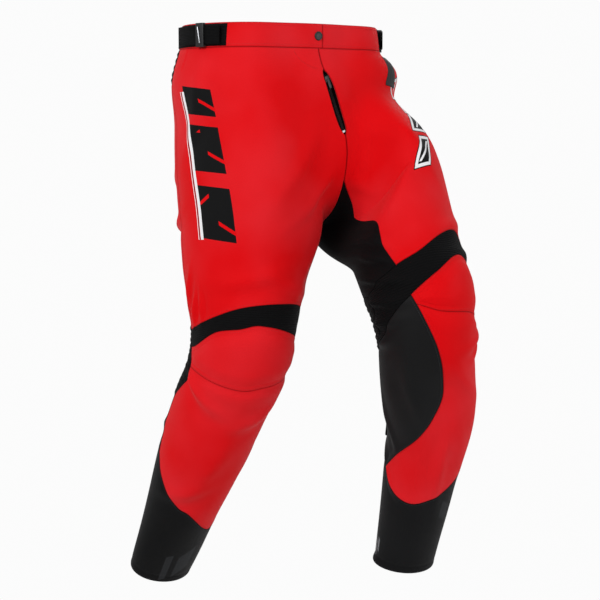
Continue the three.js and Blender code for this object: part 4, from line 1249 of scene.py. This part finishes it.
def strap_circle(side):
    """The curve a strap slides on: its middle, its radius and the headings of its two ends."""
    marks = waist_place(np.array([strap_from, loop_angle, strap_to]) * float(side), band_height - 2.0,
                        strap_back)
    (ax, ay), (bx, by), (cx, cy) = marks[:, :2]
    d = 2 * (ax * (by - cy) + bx * (cy - ay) + cx * (ay - by))
    aa, bb, cc = ax * ax + ay * ay, bx * bx + by * by, cx * cx + cy * cy
    x = (aa * (by - cy) + bb * (cy - ay) + cc * (ay - by)) / d
    y = (aa * (cx - bx) + bb * (ax - cx) + cc * (bx - ax)) / d
    steps = waist_place(np.arange(strap_from, strap_to + 0.1, 2.5) * side, band_height - 2.0, strap_back)
    radius = np.hypot(steps[:, 0] - x, steps[:, 1] - y).max()
    first = math.atan2(ay - y, ax - x)
    sweep = abs((math.atan2(cy - y, cx - x) - first + math.pi) % (2 * math.pi) - math.pi)
    return x, y, radius, first, side * sweep


def add_straps():
    """The two webbing straps that draw the waist in."""
    for side in (RIGHT, LEFT):
        x, y, radius, first, sweep = strap_circle(side)

        def spot(s, t, height):
            turn = first + sweep * s
            reach = radius + height
            z = -band_height / 2 + strap_height * (0.5 - t)
            return np.stack([x + reach * np.cos(turn), y + reach * np.sin(turn), z], -1)

        name = f"adjuster_strap_{SIDE_NAME[side]}"
        strap = grid_sheet(f"{name}_cloth", spot, 40, 14, strap_thickness, strap_thickness, webbing,
                           side > 0)
        declare(strap, name, f"strap_{SIDE_NAME[side]}")


def add_patch_and_grippers():
    """The ribbed rubber patch on the left hip and the gripper bands inside the cuffs."""
    def narrowing(depth):
        return smooth(band_height + 14, band_height + 84, depth)

    def patch_lift(across, depth, edge):
        return -0.5 * bell((across - 31) - 3 * np.round((across - 31) / 3), 0.5) * smooth(2, 6, edge)

    patch = panel("hip_patch", LEFT, {
        "left": lambda depth: 24 - 8 * narrowing(depth), "right": lambda depth: 42 - 6 * narrowing(depth),
        "top": level(band_height + 12), "bottom": level(band_height + 78),
    }, grip_rubber, thickness=1.0, cell=1.6, lift=patch_lift, outside=2.6)
    declare(patch, "hip_patch_left", "pants")
    for side in (RIGHT, LEFT):
        gripper = panel("cuff_gripper", side, {
            "left": level(-180), "right": level(180), "top": level(hem - 34), "bottom": level(hem - 8),
        }, grip_rubber, thickness=1.0, cell=6.0, outside=-cloth - 1.0)
        declare(gripper, f"cuff_gripper_{SIDE_NAME[side]}", shin(side))


# ---------------------------------------------------------------- pads
def puffed(obj, pressure, most):
    """Fills a pad with air by a short cloth simulation, and limits how far the cover moves, in mm."""
    remesh = obj.modifiers.new("even faces", "REMESH")
    remesh.mode = "VOXEL"
    remesh.voxel_size = 0.0045
    take_shape(obj)
    start = np.array([v.co[:] for v in obj.data.vertices])
    puff = obj.modifiers.new("puff", "CLOTH")
    puff.settings.use_pressure = True
    puff.settings.uniform_pressure_force = pressure
    puff.settings.effector_weights.gravity = 0
    puff.settings.quality = 6
    puff.point_cache.frame_start = 1
    puff.point_cache.frame_end = 20
    for step in range(1, 21):
        bpy.context.scene.frame_set(step)
    take_shape(obj)
    bpy.context.scene.frame_set(1)
    end = np.array([v.co[:] for v in obj.data.vertices])
    move = end - start
    far = np.linalg.norm(move, axis=1, keepdims=True)
    end = start + move * np.minimum(1, most * MM / np.maximum(far, 1e-9))
    obj.data.vertices.foreach_set("co", end.astype(np.float32).ravel())
    smoother = obj.modifiers.new("finer", "SUBSURF")
    smoother.levels = 1
    smoother.render_levels = 1
    take_shape(obj)


def take_shape(obj):
    """Turns what the modifiers make into the piece's own mesh."""
    bpy.context.view_layer.update()
    shaped = bpy.data.meshes.new_from_object(obj.evaluated_get(bpy.context.evaluated_depsgraph_get()))
    obj.modifiers.clear()
    obj.data = shaped
    shaped.polygons.foreach_set("use_smooth", np.ones(len(shaped.polygons), bool))


def add_pad(name, side, edges, outside, body):
    """A foam pad in its cover, moulded in cells and puffed between the channels."""
    def channels(across, depth, edge):
        rows = bell((depth / 22) - np.round(depth / 22), 0.07)
        columns = bell((across / 16) - np.round(across / 16), 0.07)
        return -0.9 * np.maximum(rows, columns) * smooth(1, 6, edge)

    pad = panel(name, side, edges, pad_cover, thickness=4.6, cell=4.4, lift=channels, outside=outside - 0.6)
    puffed(pad, 4.0, 0.6)
    full = f"{name}_{SIDE_NAME[side]}"
    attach(pad, body)
    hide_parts(full)


def add_pads():
    """The foam pads in the hips and behind the knee cups."""
    for side in (RIGHT, LEFT):
        hip_gap, knee_gap = (2, 3.8) if side == RIGHT else (7, 5)
        add_pad("hip_pad", side, {
            "left": level(58), "right": level(108), "top": level(hip_station - 55),
            "bottom": level(hip_station + 75),
        }, -cloth - hip_gap - 1.5, "pants")
        add_pad("knee_pad", side, {
            "left": level(-18), "right": level(78), "top": lambda a: band_bottom[side](a) + 10,
            "bottom": lambda a: crease[side](a) + 70,
        }, -cloth - knee_gap - 1.5, shin(side))


# ---------------------------------------------------------------- stitches and teeth
def item_nodes(tree, kind):
    """The small thing that is repeated: a thread stitch or a zip tooth."""
    if kind == "stitch":
        made = node(tree, "GeometryNodeMeshUVSphere")
        made.inputs["Segments"].default_value = 8
        made.inputs["Rings"].default_value = 5
        made.inputs["Radius"].default_value = MM
        size = (1.05, 0.3, 0.26)
    else:
        made = node(tree, "GeometryNodeMeshCylinder")
        made.inputs["Vertices"].default_value = 10
        made.inputs["Radius"].default_value = 0.6 * MM
        made.inputs["Depth"].default_value = 2.4 * MM
        size = (1.0, 1.0, 1.0)
    sized = node(tree, "GeometryNodeTransform")
    wire(tree, made.outputs["Mesh"], sized.inputs["Geometry"])
    sized.inputs["Scale"].default_value = size
    if kind == "tooth":
        sized.inputs["Rotation"].default_value = (math.pi / 2, 0, 0)
    return sized.outputs["Geometry"]


def along_tree(kind):
    """Geometry nodes that set copies of an item along the edges of a mesh."""
    tree = bpy.data.node_groups.new(f"{kind} along lines", "GeometryNodeTree")
    tree.interface.new_socket(name="Geometry", in_out="INPUT", socket_type="NodeSocketGeometry")
    tree.interface.new_socket(name="Spacing", in_out="INPUT", socket_type=FLOAT)
    tree.interface.new_socket(name="Look", in_out="INPUT", socket_type="NodeSocketMaterial")
    tree.interface.new_socket(name="Geometry", in_out="OUTPUT", socket_type="NodeSocketGeometry")
    start, end = node(tree, "NodeGroupInput"), node(tree, "NodeGroupOutput")
    curve = node(tree, "GeometryNodeMeshToCurve")
    wire(tree, start.outputs["Geometry"], curve.inputs["Mesh"])
    points = node(tree, "GeometryNodeResampleCurve", mode="LENGTH")
    wire(tree, curve.outputs["Curve"], points.inputs["Curve"])
    wire(tree, start.outputs["Spacing"], points.inputs["Length"])
    outward = node(tree, "GeometryNodeInputNamedAttribute", data_type="FLOAT_VECTOR")
    outward.inputs["Name"].default_value = "out"
    tangent = node(tree, "GeometryNodeInputTangent")
    upright = node(tree, "FunctionNodeAlignRotationToVector", axis="Z")
    wire(tree, outward.outputs["Attribute"], upright.inputs["Vector"])
    headed = node(tree, "FunctionNodeAlignRotationToVector", axis="X", pivot_axis="Z")
    wire(tree, upright.outputs["Rotation"], headed.inputs["Rotation"])
    wire(tree, tangent.outputs["Tangent"], headed.inputs["Vector"])
    copies = node(tree, "GeometryNodeInstanceOnPoints")
    wire(tree, points.outputs["Curve"], copies.inputs["Points"])
    wire(tree, item_nodes(tree, kind), copies.inputs["Instance"])
    wire(tree, headed.outputs["Rotation"], copies.inputs["Rotation"])
    real = node(tree, "GeometryNodeRealizeInstances")
    wire(tree, copies.outputs["Instances"], real.inputs["Geometry"])
    look = node(tree, "GeometryNodeSetMaterial")
    wire(tree, real.outputs["Geometry"], look.inputs["Geometry"])
    wire(tree, start.outputs["Look"], look.inputs["Material"])
    wire(tree, look.outputs["Geometry"], end.inputs["Geometry"])
    return tree


ALONG = {kind: along_tree(kind) for kind in ("stitch", "tooth")}


def along_lines(name, lines, kind, spacing, material):
    """One piece made of copies of an item along several lines of points."""
    points, outs, edges = [], [], []
    for run, out in lines:
        first = len(points)
        points.extend((run * MM).tolist())
        outs.extend(out.tolist())
        edges.extend((first + i, first + i + 1) for i in range(len(run) - 1))
    mesh = bpy.data.meshes.new(name)
    mesh.from_pydata(points, edges, [])
    mesh.attributes.new("out", "FLOAT_VECTOR", "POINT").data.foreach_set("vector",
            np.array(outs, np.float32).ravel())
    obj = make_object(name, mesh, None)
    tree = ALONG[kind]
    repeat = obj.modifiers.new("copies", "NODES")
    repeat.node_group = tree
    sockets = {item.name: item.identifier for item in tree.interface.items_tree if item.in_out == "INPUT"}
    repeat[sockets["Spacing"]] = spacing * MM
    repeat[sockets["Look"]] = material
    take_shape(obj)
    return obj


def raised(line, height):
    run, out = line
    return run + out * height, out


def fly_curve_line():
    """The curved row that sews down the fly's lap, on the wearer's right."""
    share = np.linspace(0.08, 0.97, 40)
    aside = fly_curve_width * np.sqrt(1 - share * share) + 2.5
    depth = band_height + share * (fly_top - band_height)
    run = fly_place(-aside, depth, 0.35)
    return run, unit_rows(fly_place(-aside, depth, 1.35) - run)


def unit_rows(v):
    return v / np.linalg.norm(v, axis=-1, keepdims=True)


def add_stitches():
    """Rows of thread along the seams, one piece for each body and thread."""
    hips = [("thigh_front", "bottom"), ("thigh_front", "right"), ("seat_panel", "left"),
            ("seat_panel", "top")]
    legs = [("knee_cup", "top"), ("knee_cup", "bottom"), ("knee_cup", "left"), ("shin_panel", "left"),
            ("shin_panel", "bottom"), ("shin_panel", "right")]
    dark = [("cuff", "top"), ("cuff", "bottom"), ("calf_leather", "left"), ("calf_leather", "bottom"),
            ("calf_leather", "right")]
    rows = [raised(fly_curve_line(), 0),
            raised((fly_curve_line()[0] + [0, 0, 2.2], fly_curve_line()[1]), 0)]
    for side in (RIGHT, LEFT):
        name = SIDE_NAME[side]
        rows += [raised(STITCH_LINES[(f"{part}_{name}", edge)], 0.12) for part, edge in hips]
        for parts, thread, label, slot in ((legs, red_thread, "red", "red_cloth"),
                                           (dark, grey_thread, "grey", "black_leather")):
            lines = [raised(STITCH_LINES[(f"{part}_{name}", edge)], 0.12) for part, edge in parts]
            sewn = along_lines(f"{label}_stitches_{name}", lines, "stitch", 3.0, thread)
            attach(sewn, shin(side))
    for piece in ("waistband_front_right_cloth", "waistband_front_left_cloth", "waistband_back_cloth"):
        rows += [raised(STITCH_LINES[(piece, edge)], 0.12) for edge in ("top", "bottom")]
    sewn = along_lines("red_stitches_hips", rows, "stitch", 3.0, red_thread)
    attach(sewn, "pants")


# ---------------------------------------------------------------- moulded and metal pieces
def refined(name, width, material, body="pants"):
    """A hard piece with its edges rounded by a small bevel."""
    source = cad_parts[name]
    mesh = source.data.copy()
    mesh.transform(source.matrix_world)
    shape = bmesh.new()
    shape.from_mesh(mesh)
    bmesh.ops.remove_doubles(shape, verts=shape.verts, dist=1e-6)
    bmesh.ops.dissolve_limit(shape, angle_limit=math.radians(2), verts=shape.verts, edges=shape.edges)
    sharp = [e for e in shape.edges if e.is_manifold and e.calc_face_angle(0) > math.radians(32)]
    bmesh.ops.bevel(shape, geom=sharp, offset=width * MM, segments=3, profile=0.5, affect="EDGES",
                    clamp_overlap=True)
    bmesh.ops.triangulate(shape, faces=[f for f in shape.faces if len(f.verts) > 4])
    shape.to_mesh(mesh)
    shape.free()
    mesh.polygons.foreach_set("use_smooth", np.ones(len(mesh.polygons), bool))
    mesh.set_sharp_from_angle(angle=math.radians(38))
    mesh.materials.clear()
    obj = make_object(f"{name}_fine", mesh, material)
    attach(obj, body)
    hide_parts(name)
    return obj


def add_snap_cap():
    """The round cap of the snap, with a raised rim round a dished middle."""
    outline = [(0, 0), (6.7, 0), (7.3, 0.3), (7.5, 0.9), (7.2, 1.5), (6.4, 2.0), (5.7, 2.1),
               (5.2, 1.75), (4.7, 1.6),
               (3.4, 1.7), (1.6, 1.8), (0, 1.82)]
    turns = 48
    origin = waist_place(0.0, band_height / 2, clearance)
    out = unit(waist_place(0.0, band_height / 2, clearance + 1.0) - origin)
    aside = np.array([1.0, 0, 0])
    up = unit(np.cross(out, aside))
    mesh = bpy.data.meshes.new("snap_cap_fine")
    shape = bmesh.new()
    rings = []
    for radius, height in outline:
        count = turns if radius > 0 else 1
        ring = []
        for k in range(count):
            turn = 2 * math.pi * k / turns
            point = origin + radius * (math.cos(turn) * aside + math.sin(turn) * up) + height * out
            ring.append(shape.verts.new(tuple(point * MM)))
        rings.append(ring)
    for low, high in zip(rings[:-1], rings[1:]):
        for k in range(turns):
            n = (k + 1) % turns
            a, b = low[k % len(low)], low[n % len(low)]
            c, d = high[n % len(high)], high[k % len(high)]
            corners = [a, b, c, d]
            shape.faces.new([v for i, v in enumerate(corners) if v not in corners[:i]])
    bmesh.ops.recalc_face_normals(shape, faces=shape.faces)
    shape.to_mesh(mesh)
    shape.free()
    mesh.polygons.foreach_set("use_smooth", np.ones(len(mesh.polygons), bool))
    cap = make_object("snap_cap_fine", mesh, black_plastic)
    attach(cap, "snap_body")
    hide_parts("snap_cap")


def add_hardware():
    """The zip slider, pull and stop, the adjuster loops and prongs, and the snap."""
    refined("zip_slider", 0.35, black_plastic, "zip_slider_body")
    refined("zip_pull", 0.3, black_plastic, "zip_pull_body")
    refined("zip_bottom_stop", 0.25, plain_metal)
    for name in ("right", "left"):
        refined(f"adjuster_loop_{name}", 0.55, black_plastic)
        refined(f"adjuster_prong_{name}", 0.3, plain_metal, f"prong_{name}")
    add_snap_cap()
    for name in ("snap_socket", "snap_stud", "snap_rivet"):
        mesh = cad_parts[name].data
        mesh.materials.clear()
        mesh.materials.append(plain_metal)


# ---------------------------------------------------------------- camera, floor and light
STUDIO_AMBIENT = 0.52    # how strongly the white surroundings light the cloth


def add_studio():
    """The camera, the pale floor, the white surroundings and three soft lamps."""
    turn = math.radians(-32)
    right = Vector((math.cos(turn), math.sin(turn), 0))
    forward = Vector((-math.sin(turn), math.cos(turn), 0))
    distance = 2.6
    eye_height = -0.170
    aim_height = -0.468
    view_angle = math.radians(22.6)
    beside = right * 0.034
    eye = beside + Vector((0, 0, eye_height)) - forward * distance
    target = beside + Vector((0, 0, aim_height))
    camera = bpy.data.objects.new("camera", bpy.data.cameras.new("camera"))
    camera.location = eye
    camera.rotation_euler = (target - eye).to_track_quat("-Z", "Y").to_euler()
    camera.data.sensor_width = 36
    camera.data.lens = 18 / math.tan(view_angle / 2)
    camera.data.clip_end = 60
    bpy.context.scene.collection.objects.link(camera)
    bpy.context.scene.camera = camera

    ground = bpy.data.meshes.new("floor")
    reach = 40.0
    low = -1.9
    corners = [(-reach, -reach, low), (reach, -reach, low), (reach, reach, low), (-reach, reach, low)]
    ground.from_pydata(corners, [],
                       [(0, 1, 2, 3)])
    mat, tree, shader = new_material("Pale floor")
    noise = node(tree, "ShaderNodeTexNoise")
    wire(tree, object_coordinates(tree), noise.inputs["Vector"])
    noise.inputs["Scale"].default_value = 0.6
    wire(tree, mixed(tree, noise.outputs["Fac"], (0.72, 0.72, 0.72, 1), (0.78, 0.78, 0.78, 1)),
         shader.inputs["Base Color"])
    shader.inputs["Roughness"].default_value = 0.9
    glow = node(tree, "ShaderNodeEmission")
    glow.inputs["Color"].default_value = (0.97, 0.97, 0.97, 1)
    seen = node(tree, "ShaderNodeLightPath").outputs["Is Camera Ray"]
    blend_shaders = node(tree, "ShaderNodeMixShader")
    wire(tree, seen, blend_shaders.inputs[0])
    wire(tree, shader.outputs[0], blend_shaders.inputs[1])
    wire(tree, glow.outputs[0], blend_shaders.inputs[2])
    wire(tree, blend_shaders.outputs[0], tree.nodes["Material Output"].inputs["Surface"])
    floor = make_object("floor", ground, mat)

    world = bpy.data.worlds.new("studio")
    world.use_nodes = True
    sky = world.node_tree
    background = sky.nodes["Background"]
    background.inputs["Color"].default_value = (1, 1, 1, 1)
    sees = node(sky, "ShaderNodeLightPath").outputs["Is Camera Ray"]
    strength = maths(sky, "ADD", maths(sky, "MULTIPLY", sees, 0.97 - STUDIO_AMBIENT), STUDIO_AMBIENT)
    wire(sky, strength, background.inputs["Strength"])
    bpy.context.scene.world = world
    lamps = [
        ("key", -right * 1.7 - forward * 2.3 + Vector((0, 0, 1.0)), 1.3, 50),
        ("fill", right * 2.4 - forward * 1.8 + Vector((0, 0, 0.3)), 1.6, 24),
        ("back", forward * 2.0 + right * 0.4 + Vector((0, 0, 1.2)), 1.6, 14),
    ]
    for name, where, size, power in lamps:
        light = bpy.data.lights.new(name, "AREA")
        light.size = size
        light.energy = power
        lamp = bpy.data.objects.new(name, light)
        lamp.location = where
        lamp.rotation_euler = (Vector((0, 0, -0.45)) - where).to_track_quat("-Z", "Y").to_euler()
        bpy.context.scene.collection.objects.link(lamp)
    scene = bpy.context.scene
    scene.view_settings.view_transform = "Standard"
    scene.view_settings.look = "None"
    scene.view_settings.exposure = 0


add_studio()
add_waistband()
for leg in (RIGHT, LEFT):
    add_thigh(leg)
    add_knee(leg)
    add_lower_leg(leg)
add_band_lining()
add_fly_lining()
add_zip()
add_straps()
add_patch_and_grippers()
add_pads()
add_hardware()
add_stitches()
